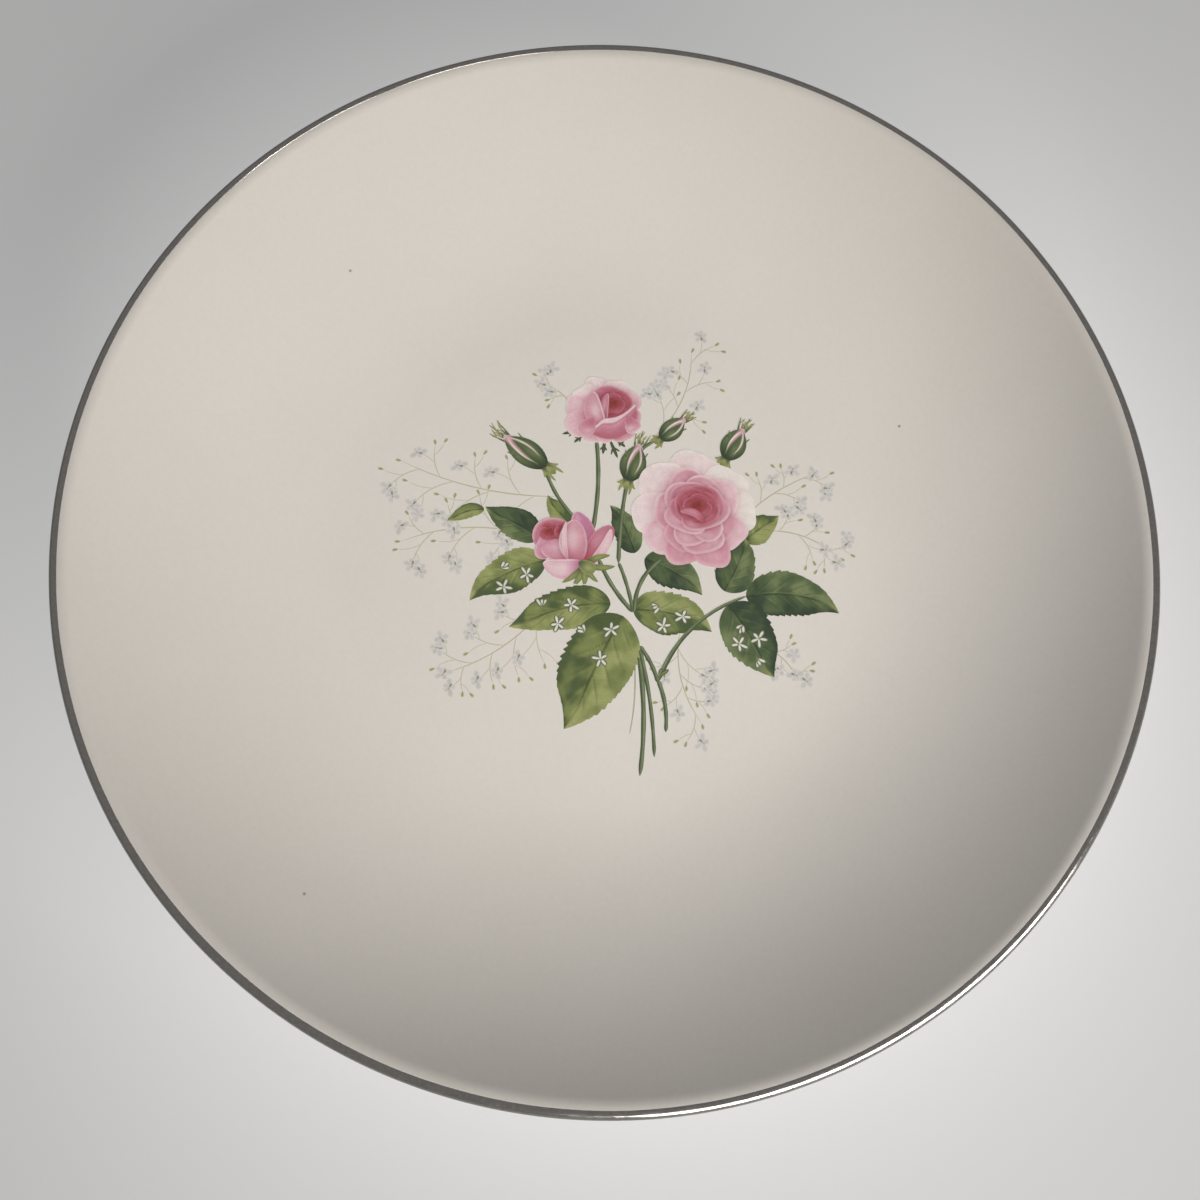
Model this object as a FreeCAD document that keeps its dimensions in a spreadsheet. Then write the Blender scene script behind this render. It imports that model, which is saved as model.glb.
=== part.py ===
"""A coupe-shaped china dinner plate: bisque body with a foot ring, fired glaze, metal edge line, enamel bouquet.

Units are millimetres. The plate turns about +Z, its foot ring rests on z = 0, and +Y is the top of the bouquet.
"""

import FreeCAD, Part
import Sketcher
import math
import os

V = FreeCAD.Vector
UP = V(0, 0, 1)

# Driving dimensions: alias, value in millimetres or degrees, what it is.
SPEC = [
    ("plate_dia", 260.0, "over the glazed edge"),
    ("well_dia", 124.0, "flat floor in the middle of the face"),
    ("well_height", 7.0, "bisque floor above the resting plane"),
    ("flank_slope", 32.0, "steepest slope of the face, in degrees"),
    ("roll_radius", 5.0, "reverse roll that levels the face out at the edge"),
    ("nose_radius", 1.7, "half the bisque wall, and the round of the bare edge"),
    ("foot_dia", 150.0, "outside of the ring it rests on"),
    ("foot_face", 3.0, "width of the resting face"),
    ("foot_draft", 1.2, "how far each side of the foot leans out over its height"),
    ("foot_blend", 2.0, "fillet where the foot meets the underside"),
    ("foot_round", 0.7, "fillet of the resting face's two edges"),
    ("recess_height", 2.8, "bisque underside inside the foot ring"),
    ("glaze_thick", 0.25, "fired glaze"),
    ("wipe_height", 0.9, "glaze is wiped off the foot below this"),
    ("band_thick", 0.08, "metal edge line, thicker than the real film"),
    ("band_start", 100.0, "edge line's upper end round the nose, in degrees"),
    ("band_end", -12.0, "edge line's lower end round the nose, in degrees"),
    ("enamel_thick", 0.06, "fired print"),
    ("large_rose_dia", 29.5, "over its petals"),
    ("large_rose_x", 21.5, "its centre"),
    ("large_rose_y", 10.0, "its centre"),
    ("top_rose_dia", 21.0, "over its petals"),
    ("top_rose_x", -1.5, "its centre"),
    ("top_rose_y", 36.0, "its centre"),
    ("half_open_rose_dia", 16.5, "over its petals"),
    ("half_open_rose_x", -8.5, "its centre"),
    ("half_open_rose_y", 2.0, "its centre"),
    ("floret_dia", 3.2, "spray flower"),
    ("star_dia", 4.0, "white flower printed over a leaf"),
    ("petal_share", 0.38, "petal's rounding, as a share of its flower's radius"),
    ("leaf_fullness", 0.5, "usual width of a leaf, as a share of its length"),
    ("stem_width", 1.2, "bouquet stem"),
    ("stalk_width", 0.36, "hairline stalk of a spray"),
    ("twig_width", 0.26, "its side twigs"),
    ("least_island", 0.15, "smallest printed island kept, in square millimetres"),
]

# Bouquet layout, in millimetres from the plate's centre.
# Flowers: name, petals. Their sizes and centres are in the sheet.
ROSES = [("large_rose", 9), ("top_rose", 8), ("half_open_rose", 6)]
SMALL_PETALS = 5
# Buds and leaves: base, tip, fullness relative to the usual leaf.
BUDS = [
    ((-17.5, 20.5), (-28.5, 33.5), 0.94),
    ((3.5, 17.5), (6.5, 29.5), 1.22),
    ((12.5, 30.0), (21.5, 38.5), 1.04),
    ((29.5, 24.5), (34.5, 36.5), 1.10),
]
DARK_LEAVES = [
    ((9.0, -2.0), (23.5, -10.5), 1.08),
    ((28.5, -10.0), (34.5, 3.5), 1.40),
    ((34.0, -11.5), (57.0, -14.5), 1.02),
    ((29.5, -13.5), (39.5, -32.0), 1.28),
    ((6.5, -0.5), (1.0, 12.0), 1.04),
    ((-17.0, 3.0), (-31.0, 10.5), 1.04),
]
LIGHT_LEAVES = [
    ((-31.0, 10.5), (-40.0, 7.0), 0.80),
    ((-15.5, -2.5), (-34.5, -12.0), 0.98),
    ((0.5, -13.5), (-24.0, -20.5), 0.86),
    ((3.5, -16.5), (-9.5, -45.0), 1.18),
    ((6.0, -15.0), (25.5, -19.5), 1.12),
    ((34.0, 2.5), (43.0, 9.0), 1.30),
    ((-9.5, 7.0), (-15.5, 14.0), 1.10),
]
# Curved strokes: start, end, bow to the left of the way from start to end.
STEMS = [
    ((-3.0, 29.0), (-4.0, 5.0), 0.9),
    ((-18.0, 21.0), (-8.0, 8.0), -1.2),
    ((3.5, 18.5), (2.5, -3.0), -0.7),
    ((13.0, 30.5), (6.0, 25.0), -0.8),
    ((-2.5, -2.0), (6.0, -15.5), -0.8),
    ((2.5, -3.0), (6.0, -15.5), 0.4),
    ((13.0, -2.0), (6.3, -15.5), -1.8),
    ((6.0, -15.0), (8.0, -55.0), 1.4),
    ((7.0, -15.0), (11.2, -50.0), 1.6),
    ((6.8, -17.0), (12.0, -31.0), -0.6),
    ((12.0, -30.5), (13.6, -45.0), 0.8),
    ((12.0, -31.0), (34.5, -11.6), 3.0),
]
# Sprays: root, tip, bow, side twigs.
SPRAYS = [
    ((-18.0, 15.0), (-52.0, 23.0), 2.5, 6),
    ((-18.0, 3.5), (-51.5, 2.0), -3.0, 6),
    ((-14.0, -12.0), (-40.0, -31.0), 3.0, 7),
    ((-9.5, 38.5), (-17.0, 44.0), -1.0, 2),
    ((10.5, 29.0), (21.5, 53.0), -3.0, 6),
    ((35.0, 10.0), (52.0, 20.5), 1.0, 4),
    ((40.0, 5.5), (57.5, -1.5), 2.0, 5),
    ((17.5, -20.0), (22.5, -43.0), -2.5, 6),
    ((38.0, -24.0), (45.5, -31.0), 1.0, 3),
]
STAR_FLOWERS = [
    (-26.5, -4.6), (-25.8, -9.4), (-20.2, -6.2),
    (-16.5, -14.2), (-9.2, -13.8), (-12.4, -18.6),
    (-5.8, -20.6), (-2.0, -27.2), (0.6, -20.0),
    (12.6, -14.2), (13.4, -19.0), (18.2, -16.6),
    (33.0, -18.6), (36.8, -22.0), (32.0, -23.4), (36.4, -27.0),
]
TWIG_REACH = 0.24
TWIG_TAPER = 0.10
TWIG_ANGLE = 52
TWIG_BOW = 0.08


def make_sheet(doc):
    """The spreadsheet of driving dimensions, with one aliased cell each."""
    sheet = doc.addObject("Spreadsheet::Sheet", "Spec")
    for row, (alias, value, note) in enumerate(SPEC, start=1):
        sheet.set(f"A{row}", alias)
        sheet.set(f"B{row}", str(value))
        sheet.set(f"C{row}", note)
        sheet.setAlias(f"B{row}", alias)
    doc.recompute()
    return sheet


# ---- turned ceramic -----------------------------------------------------------------------------------------

def plane_of(body, role):
    """One of a body's own origin planes or axes."""
    return next(f for f in body.Origin.OriginFeatures if f.Role == role)


def new_sketch(body, name, role="XZ_Plane"):
    """A sketch on one of the body's own planes. On XZ its x is the radius and its y is the height."""
    sketch = body.newObject("Sketcher::SketchObject", name)
    sketch.AttachmentSupport = [(plane_of(body, role), "")]
    sketch.MapMode = "FlatFace"
    return sketch


def bind(sketch, constraint, name, expression):
    """Adds a driving constraint and ties it to the spreadsheet."""
    index = sketch.addConstraint(constraint)
    sketch.renameConstraint(index, name)
    sketch.setExpression(f"Constraints.{name}", expression)


def arc(centre, radius, start_deg, end_deg):
    """A counter-clockwise arc in sketch coordinates."""
    circle = Part.Circle(centre, UP, radius)
    return Part.ArcOfCircle(circle, math.radians(start_deg), math.radians(end_deg))


def polar(centre, radius, degrees):
    """The point at an angle on a circle."""
    angle = math.radians(degrees)
    return centre + V(math.cos(angle), math.sin(angle), 0) * radius


def turned_plate(doc, spec, label, skin, skin_words):
    """Half the plate's section, turned about Z. skin grows every surface, so the same outline gives bisque or glaze.

    The face runs flat, up a hollow flank and over a reverse roll to the round nose. The back follows one wall
    thickness behind it, down to the foot ring and its recess.
    """
    wall = 2 * spec.nose_radius
    edge = spec.plate_dia / 2 - spec.nose_radius - spec.glaze_thick
    sweep = (edge - spec.well_dia / 2) / math.sin(math.radians(spec.flank_slope))
    flank = sweep - spec.roll_radius
    flank_centre = V(spec.well_dia / 2, spec.well_height + flank, 0)
    roll_centre = flank_centre + V(edge - spec.well_dia / 2, -sweep * math.cos(math.radians(spec.flank_slope)), 0)
    nose_centre = roll_centre + V(0, spec.roll_radius - spec.nose_radius, 0)
    slope = spec.flank_slope
    foot_out = spec.foot_dia / 2
    foot_in = foot_out - spec.foot_face
    foot_top = foot_out + spec.foot_draft + skin
    junction = math.degrees(math.asin((foot_top - flank_centre.x) / (flank + wall + skin)))
    floor = V(0, spec.well_height + skin, 0)
    recess = V(0, spec.recess_height - skin, 0)

    body = doc.addObject("PartDesign::Body", label)
    sketch = new_sketch(body, f"{label}_section")
    face_flank = arc(flank_centre, flank - skin, -90, -90 + slope)
    face_roll = arc(roll_centre, spec.roll_radius + skin, 90, 90 + slope)
    nose = arc(nose_centre, spec.nose_radius + skin, -90, 90)
    back_roll = arc(roll_centre, spec.roll_radius - wall - skin, 90, 90 + slope)
    back_flank = arc(flank_centre, flank + wall + skin, -90 + junction, -90 + slope)
    foot_shoulder = polar(flank_centre, flank + wall + skin, -90 + junction)
    foot_outer = V(foot_out + skin, 0, 0)
    foot_inner = V(foot_in - skin, 0, 0)
    recess_edge = V(foot_in - spec.foot_draft - skin, recess.y, 0)
    well_edge = V(flank_centre.x, floor.y, 0)
    sketch.addGeometry(
        [
            Part.LineSegment(recess, floor),
            Part.LineSegment(floor, well_edge),
            face_flank,
            face_roll,
            nose,
            back_roll,
            back_flank,
            Part.LineSegment(foot_shoulder, foot_outer),
            Part.LineSegment(foot_outer, foot_inner),
            Part.LineSegment(foot_inner, recess_edge),
            Part.LineSegment(recess_edge, recess),
        ],
        False,
    )
    axis, well, flank_id, roll_id, nose_id, back_roll_id, back_flank_id, outer, rest, inner, ceiling = range(11)
    start, end, centre = 1, 2, 3
    join = [
        (axis, end, well, start),
        (back_flank_id, start, outer, start),
        (outer, end, rest, start),
        (rest, end, inner, start),
        (inner, end, ceiling, start),
        (ceiling, end, axis, start),
        (flank_id, centre, back_flank_id, centre),
        (roll_id, centre, back_roll_id, centre),
    ]
    smooth = [
        (well, end, flank_id, start),
        (flank_id, end, roll_id, end),
        (roll_id, start, nose_id, end),
        (nose_id, start, back_roll_id, start),
        (back_roll_id, end, back_flank_id, end),
    ]
    origin, vertical_axis = -1, -2
    sketch.addConstraint([Sketcher.Constraint("Coincident", *ends) for ends in join])
    sketch.addConstraint([Sketcher.Constraint("Tangent", *ends) for ends in smooth])
    sketch.addConstraint(
        [
            Sketcher.Constraint("PointOnObject", axis, start, vertical_axis),
            Sketcher.Constraint("Vertical", axis),
            Sketcher.Constraint("Horizontal", well),
            Sketcher.Constraint("Horizontal", ceiling),
            Sketcher.Constraint("PointOnObject", rest, start, origin),
            Sketcher.Constraint("PointOnObject", rest, end, origin),
            Sketcher.Constraint("Vertical", roll_id, start, roll_id, centre),
        ]
    )
    edge_words = "Spec.plate_dia / 2 - Spec.nose_radius - Spec.glaze_thick"
    flank_words = f"({edge_words} - Spec.well_dia / 2) / sin(Spec.flank_slope * 1 deg) - Spec.roll_radius"
    foot_words = "Spec.foot_dia / 2"
    c = Sketcher.Constraint
    bind(sketch, c("DistanceX", well, start, well, end, flank_centre.x), "well_radius", "Spec.well_dia / 2")
    bind(sketch, c("DistanceY", -1, 1, axis, end, floor.y), "floor", f"Spec.well_height + {skin_words}")
    bind(sketch, c("Radius", flank_id, flank - skin), "flank", f"{flank_words} - {skin_words}")
    bind(sketch, c("Radius", roll_id, spec.roll_radius + skin), "roll", f"Spec.roll_radius + {skin_words}")
    bind(sketch, c("Radius", nose_id, spec.nose_radius + skin), "nose", f"Spec.nose_radius + {skin_words}")
    bind(sketch, c("DistanceX", -1, 1, nose_id, centre, nose_centre.x), "edge", edge_words)
    bind(sketch, c("DistanceX", -1, 1, outer, start, foot_top), "foot_top",
         f"{foot_words} + Spec.foot_draft + {skin_words}")
    bind(sketch, c("DistanceX", -1, 1, rest, start, foot_outer.x), "foot_outer", f"{foot_words} + {skin_words}")
    bind(sketch, c("DistanceX", -1, 1, rest, end, foot_inner.x), "foot_inner",
         f"{foot_words} - Spec.foot_face - {skin_words}")
    bind(sketch, c("DistanceX", -1, 1, inner, end, recess_edge.x), "recess_edge",
         f"{foot_words} - Spec.foot_face - Spec.foot_draft - {skin_words}")
    bind(sketch, c("DistanceY", -1, 1, inner, end, recess_edge.y), "recess", f"Spec.recess_height - {skin_words}")

    turned = body.newObject("PartDesign::Revolution", f"{label}_turned")
    turned.Profile = sketch
    turned.ReferenceAxis = (sketch, ["V_Axis"])
    turned.Angle = 360.0
    doc.recompute()
    blend = fillet_rings(body, turned, f"{label}_foot_blend", [foot_shoulder, recess_edge])
    blend.setExpression("Radius", f"Spec.foot_blend - {skin_words}")
    doc.recompute()
    rounds = fillet_rings(body, blend, f"{label}_foot_round", [foot_outer, foot_inner])
    rounds.setExpression("Radius", f"Spec.foot_round + {skin_words}")
    doc.recompute()
    return body, nose_centre


def fillet_rings(body, feature, name, places):
    """Fillets the circular edges that pass through the given section points."""
    rings = []
    for number, edge in enumerate(feature.Shape.Edges, start=1):
        curve = edge.Curve
        if not isinstance(curve, Part.Circle):
            continue
        for place in places:
            if abs(curve.Radius - place.x) < 0.01 and abs(curve.Center.z - place.y) < 0.01:
                rings.append(f"Edge{number}")
    fillet = body.newObject("PartDesign::Fillet", name)
    fillet.Base = (feature, sorted(set(rings)))
    return fillet


def edge_band(doc, spec, nose_centre):
    """The metal edge line, a thin arc section turned about Z outside the glazed nose."""
    body = doc.addObject("PartDesign::Body", "platinum_edge_line")
    sketch = new_sketch(body, "edge_line_section")
    inner_radius = spec.nose_radius + spec.glaze_thick
    outer_radius = inner_radius + spec.band_thick
    corners = {
        (radius, angle): polar(nose_centre, radius, angle)
        for radius in (inner_radius, outer_radius)
        for angle in (spec.band_end, spec.band_start)
    }
    sketch.addGeometry(
        [
            arc(nose_centre, inner_radius, spec.band_end, spec.band_start),
            arc(nose_centre, outer_radius, spec.band_end, spec.band_start),
            Part.LineSegment(corners[inner_radius, spec.band_end], corners[outer_radius, spec.band_end]),
            Part.LineSegment(corners[inner_radius, spec.band_start], corners[outer_radius, spec.band_start]),
        ],
        False,
    )
    glaze_side, air_side, lower, upper = range(4)
    start, end, centre = 1, 2, 3
    c = Sketcher.Constraint
    sketch.addConstraint(
        [
            c("Coincident", glaze_side, centre, air_side, centre),
            c("Coincident", glaze_side, start, lower, start),
            c("Coincident", air_side, start, lower, end),
            c("Coincident", glaze_side, end, upper, start),
            c("Coincident", air_side, end, upper, end),
        ]
    )
    edge_words = "Spec.plate_dia / 2 - Spec.nose_radius - Spec.glaze_thick"
    sweep_words = f"({edge_words} - Spec.well_dia / 2) / sin(Spec.flank_slope * 1 deg)"
    rise_words = f"{sweep_words} * (1 - cos(Spec.flank_slope * 1 deg))"
    glaze_words = "Spec.nose_radius + Spec.glaze_thick"
    bind(sketch, c("DistanceX", -1, 1, glaze_side, centre, nose_centre.x), "edge", edge_words)
    bind(sketch, c("DistanceY", -1, 1, glaze_side, centre, nose_centre.y), "height",
         f"Spec.well_height + {rise_words} - Spec.nose_radius")
    bind(sketch, c("Radius", glaze_side, inner_radius), "glaze_radius", glaze_words)
    bind(sketch, c("Radius", air_side, outer_radius), "air_radius", f"{glaze_words} + Spec.band_thick")
    bind(sketch, c("Angle", lower, math.radians(spec.band_end)), "lower_end", "Spec.band_end * 1 deg")
    bind(sketch, c("Angle", upper, math.radians(spec.band_start)), "upper_end", "Spec.band_start * 1 deg")
    turned = body.newObject("PartDesign::Revolution", "edge_line_turned")
    turned.Profile = sketch
    turned.ReferenceAxis = (sketch, ["V_Axis"])
    turned.Angle = 360.0
    doc.recompute()
    return body


def cylinder(doc, name, radius_words, bottom_words, height):
    """A plain cylinder on the plate's axis, used to split the glaze."""
    part = doc.addObject("Part::Cylinder", name)
    part.setExpression("Radius", radius_words)
    part.setExpression("Placement.Base.z", bottom_words)
    part.Height = height
    return part


def combine(doc, kind, name, base, tool):
    """A Part boolean of two objects."""
    part = doc.addObject(f"Part::{kind}", name)
    part.Base = base
    part.Tool = tool
    return part


def glaze_parts(doc, spec, bisque, envelope):
    """The glaze skin in its two islands: the coat over face, edge and back, and the disc inside the foot ring."""
    tall = 4 * spec.well_height
    skin = combine(doc, "Cut", "glaze_skin", envelope, bisque)
    above_wipe = cylinder(doc, "above_wipe", "Spec.plate_dia", "Spec.wipe_height", tall)
    wiped = combine(doc, "Common", "wiped_skin", skin, above_wipe)
    inside = cylinder(doc, "inside_foot", "(Spec.foot_dia - Spec.foot_face) / 2", "0", 0.75 * spec.well_height)
    recess = combine(doc, "Common", "foot_recess_glaze", wiped, inside)
    inside_again = cylinder(doc, "inside_foot_again", "(Spec.foot_dia - Spec.foot_face) / 2", "0",
                            0.75 * spec.well_height)
    coat = combine(doc, "Cut", "glaze_coat", wiped, inside_again)
    doc.recompute()
    return [coat, recess]


# ---- printed enamel -----------------------------------------------------------------------------------------

def point(pair):
    """A layout position as a vector."""
    return V(pair[0], pair[1], 0)


def left_of(way):
    """The unit vector 90 degrees to the left of a direction."""
    return V(-way.y, way.x, 0).normalize()


def heading(way):
    """A direction as an angle in degrees."""
    return math.degrees(math.atan2(way.y, way.x))


def circle_pad(body, name, radius_words, reach_words):
    """A round of enamel. Its centre lies on the sketch's x axis, at the given reach."""
    sketch = new_sketch(body, name, "XY_Plane")
    sketch.addGeometry(Part.Circle(V(1, 0, 0), UP, 1.0), False)
    bind(sketch, Sketcher.Constraint("Radius", 0, 1.0), "radius", radius_words)
    sketch.addConstraint(Sketcher.Constraint("PointOnObject", 0, 3, -1))
    if reach_words:
        bind(sketch, Sketcher.Constraint("DistanceX", -1, 1, 0, 3, 1.0), "reach", reach_words)
    else:
        sketch.addConstraint(Sketcher.Constraint("PointOnObject", 0, 3, -2))
    pad = body.newObject("PartDesign::Pad", f"{name}_pad")
    pad.Profile = sketch
    pad.setExpression("Length", "Spec.enamel_thick")
    return pad


def flower(doc, label, dia_alias, petals):
    """A round flower head: a disc with a ring of round petals patterned about the flower's own axis."""
    body = doc.addObject("PartDesign::Body", label)
    circle_pad(body, f"{label}_disc", f"Spec.{dia_alias} / 4", None)
    petal = circle_pad(body, f"{label}_petal", f"Spec.{dia_alias} / 2 * Spec.petal_share",
                       f"Spec.{dia_alias} / 2 * (1 - Spec.petal_share)")
    doc.recompute()
    ring = body.newObject("PartDesign::PolarPattern", f"{label}_petals")
    ring.Originals = [petal]
    ring.Axis = (plane_of(body, "Z_Axis"), [""])
    ring.Angle = 360.0
    ring.Occurrences = petals
    body.Tip = ring
    doc.recompute()
    return body


def scattered(doc, label, original, places):
    """Copies of a small flower at the given places."""
    copies = doc.addObject("App::Link", label)
    copies.LinkedObject = original
    copies.ShowElement = False
    copies.ElementCount = len(places)
    copies.PlacementList = [FreeCAD.Placement(point(place), FreeCAD.Rotation()) for place in places]
    return copies


def artwork(doc, name, curves, constraints, driven):
    """An outline sketch. driven pairs each radius constraint with the expression that sets it."""
    sketch = doc.addObject("Sketcher::SketchObject", name)
    sketch.addGeometry(curves, False)
    sketch.addConstraint(constraints + [constraint for constraint, _ in driven])
    for index, (_, words) in enumerate(driven, start=len(constraints)):
        sketch.setExpression(f"Constraints[{index}]", words)
    return sketch


def pinned(curve, end, place):
    """Constraints that hold one end or centre of a curve at a place."""
    return [
        Sketcher.Constraint("DistanceX", -1, 1, curve, end, place.x),
        Sketcher.Constraint("DistanceY", -1, 1, curve, end, place.y),
    ]


def lens(doc, name, base, tip, fullness):
    """A pointed leaf or bud: two equal arcs that meet at its base and its tip."""
    a, b = point(base), point(tip)
    length = (b - a).Length
    share = fullness * doc.Spec.leaf_fullness
    bulge = left_of(b - a) * (share * length / 2)
    middle = (a + b) * 0.5
    c = Sketcher.Constraint
    closed = [c("Coincident", 0, 2, 1, 1), c("Coincident", 1, 2, 0, 1), c("Equal", 0, 1)]
    words = f"(Spec.leaf_fullness * {fullness})"
    return artwork(
        doc,
        name,
        [Part.Arc(a, middle - bulge, b), Part.Arc(b, middle + bulge, a)],
        closed + pinned(0, 1, a) + pinned(0, 2, b),
        [(c("Radius", 0, length / 4 * (share + 1 / share)), f"{length / 4} * ({words} + 1 / {words})")],
    )


def bend(start, end, bow):
    """The arc of a curved stroke: its two ends in clockwise order, its centre, radius and end angles in degrees."""
    a, b = (point(start), point(end)) if bow > 0 else (point(end), point(start))
    length = (b - a).Length
    radius = (length ** 2 / 4 + bow ** 2) / (2 * abs(bow))
    centre = (a + b) * 0.5 + left_of(b - a) * (abs(bow) - radius)
    from_angle, to_angle = heading(b - centre), heading(a - centre)
    if to_angle < from_angle:
        to_angle += 360
    return a, b, centre, radius, from_angle, to_angle


def stroke(doc, name, start, end, bow, width_alias):
    """A curved stroke with round ends: two concentric arcs joined by two half circles."""
    a, b, centre, radius, from_angle, to_angle = bend(start, end, bow)
    half = getattr(doc.Spec, width_alias) / 2
    c = Sketcher.Constraint
    closed = [
        c("Coincident", 0, 3, 1, 3),
        c("Tangent", 0, 1, 2, 2),
        c("Tangent", 1, 1, 2, 1),
        c("Tangent", 0, 2, 3, 1),
        c("Tangent", 1, 2, 3, 2),
    ]
    return artwork(
        doc,
        name,
        [
            arc(centre, radius + half, from_angle, to_angle),
            arc(centre, radius - half, from_angle, to_angle),
            arc(b, half, from_angle - 180, from_angle),
            arc(a, half, to_angle, to_angle + 180),
        ],
        closed + pinned(2, 3, b) + pinned(3, 3, a),
        [
            (c("Radius", 0, radius + half), f"{radius} + Spec.{width_alias} / 2"),
            (c("Radius", 2, half), f"Spec.{width_alias} / 2"),
        ],
    )


def drawn(doc, draw, name, shapes, *more):
    """One sketch for each shape of a colour."""
    return [draw(doc, f"{name}{number}", *shape, *more) for number, shape in enumerate(shapes, start=1)]


def along(root, tip, bow, share):
    """The point and heading, in degrees, at a share of the way along a bowed stroke."""
    _, _, centre, radius, from_angle, to_angle = bend(root, tip, bow)
    if bow > 0:
        angle = to_angle + (from_angle - to_angle) * share
        return polar(centre, radius, angle), angle - 90
    angle = from_angle + (to_angle - from_angle) * share
    return polar(centre, radius, angle), angle + 90


def twigs_of(root, tip, bow, count):
    """The side twigs of a spray, on alternate sides of its stalk, as strokes."""
    length = (point(tip) - point(root)).Length
    twigs = []
    for number in range(1, count + 1):
        share = number / (count + 1)
        place, direction = along(root, tip, bow, share)
        side = 1 if number % 2 else -1
        reach = length * (TWIG_REACH - TWIG_TAPER * share) + 1.5
        end = polar(place, reach, direction + side * TWIG_ANGLE)
        twigs.append(((place.x, place.y), (end.x, end.y), -TWIG_BOW * side * reach))
    return twigs


def footprint(item):
    """The flat faces that a sketch encloses, or that a flower stands on."""
    if item.TypeId == "Sketcher::SketchObject":
        return [Part.Face(wire) for wire in item.Shape.Wires]
    shape = Part.getShape(item)
    return [face for face in shape.Faces if face.BoundBox.ZMax < shape.BoundBox.ZMin + 1e-6]


def merged(faces):
    """The faces of a colour, with those that overlap made one."""
    return Part.makeShell(faces[0].multiFuse(faces[1:]).Faces).removeSplitter().Faces


def trimmed_by(face, in_front):
    """What shows of a face below those in front of it."""
    near = [other for other in in_front if other.BoundBox.intersect(face.BoundBox)]
    return face.cut(near).Faces if near else [face]


def enamel_parts(doc, spec):
    """Each printed colour as a thin solid, trimmed where a colour in front of it lies."""
    roses = []
    for name, petals in ROSES:
        rose = flower(doc, f"{name}_enamel", f"{name}_dia", petals)
        rose.setExpression("Placement.Base.x", f"Spec.{name}_x")
        rose.setExpression("Placement.Base.y", f"Spec.{name}_y")
        roses.append(rose)
    floret = flower(doc, "floret", "floret_dia", SMALL_PETALS)
    star = flower(doc, "star", "star_dia", SMALL_PETALS)
    stalks = [spray[:3] for spray in SPRAYS]
    twigs = [twig for spray in SPRAYS for twig in twigs_of(*spray)]
    layers = [
        ("rosebud_enamel", drawn(doc, lens, "rosebud", BUDS)),
        ("stem_enamel", drawn(doc, stroke, "stem", STEMS, "stem_width")),
        ("star_flower_enamel", [scattered(doc, "star_flowers", star, STAR_FLOWERS)]),
        ("dark_leaf_enamel", drawn(doc, lens, "dark_leaf", DARK_LEAVES)),
        ("light_leaf_enamel", drawn(doc, lens, "light_leaf", LIGHT_LEAVES)),
        ("spray_floret_enamel", [scattered(doc, "spray_florets", floret, [tip for _, tip, _ in stalks + twigs])]),
        ("spray_stalk_enamel", drawn(doc, stroke, "spray_stalk", stalks, "stalk_width")
         + drawn(doc, stroke, "spray_twig", twigs, "twig_width")),
    ]
    doc.recompute()
    in_front = [face for rose in roses for face in footprint(rose)]
    trimmed = []
    for node, items in layers:
        faces = [face for item in items for face in footprint(item)]
        islands = [island for face in merged(faces) for island in trimmed_by(face, in_front)]
        in_front += faces
        outline = doc.addObject("Part::Feature", f"{node}_outline")
        outline.Shape = Part.makeCompound([face for face in islands if face.Area > spec.least_island])
        print_layer = doc.addObject("Part::Extrusion", node)
        print_layer.Base = outline
        print_layer.DirMode = "Custom"
        print_layer.Dir = UP
        print_layer.Solid = True
        print_layer.setExpression("LengthFwd", "Spec.enamel_thick")
        trimmed.append(print_layer)
    for layer in roses + trimmed:
        layer.setExpression("Placement.Base.z", "Spec.well_height + Spec.glaze_thick")
    doc.recompute()
    return roses + trimmed


# ---- document -----------------------------------------------------------------------------------------------

def check(doc, parts):
    """Stops on any failed object, and on any part that isn't a valid solid."""
    failed = [o.Name for o in doc.Objects if "Invalid" in o.State or "Error" in o.State]
    if failed:
        raise RuntimeError(f"failed objects: {failed}")
    for part in parts:
        shape = part.Shape
        if shape.isNull() or not shape.isValid() or not shape.Solids:
            raise RuntimeError(f"{part.Label} has no valid solid")


def main():
    doc = FreeCAD.newDocument("dinner_plate")
    spec = make_sheet(doc)
    bisque, nose_centre = turned_plate(doc, spec, "porcelain_body", 0.0, "0")
    envelope, _ = turned_plate(doc, spec, "glaze_envelope", spec.glaze_thick, "Spec.glaze_thick")
    parts = [bisque] + glaze_parts(doc, spec, bisque, envelope) + [edge_band(doc, spec, nose_centre)]
    parts += enamel_parts(doc, spec)
    doc.recompute()
    check(doc, parts)
    os.makedirs("parts", exist_ok=True)
    for part in parts:
        part.Shape.exportStep(f"parts/{part.Label}.step")
        print(f"{part.Label}: {len(part.Shape.Solids)} solids, {part.Shape.Volume:.1f} mm3")


main()
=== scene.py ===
"""Looks of the china dinner plate: finely turned glaze and edge line, and a bouquet painted by formula."""

import math

import bpy
import numpy as np
from mathutils import Matrix, Vector


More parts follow.
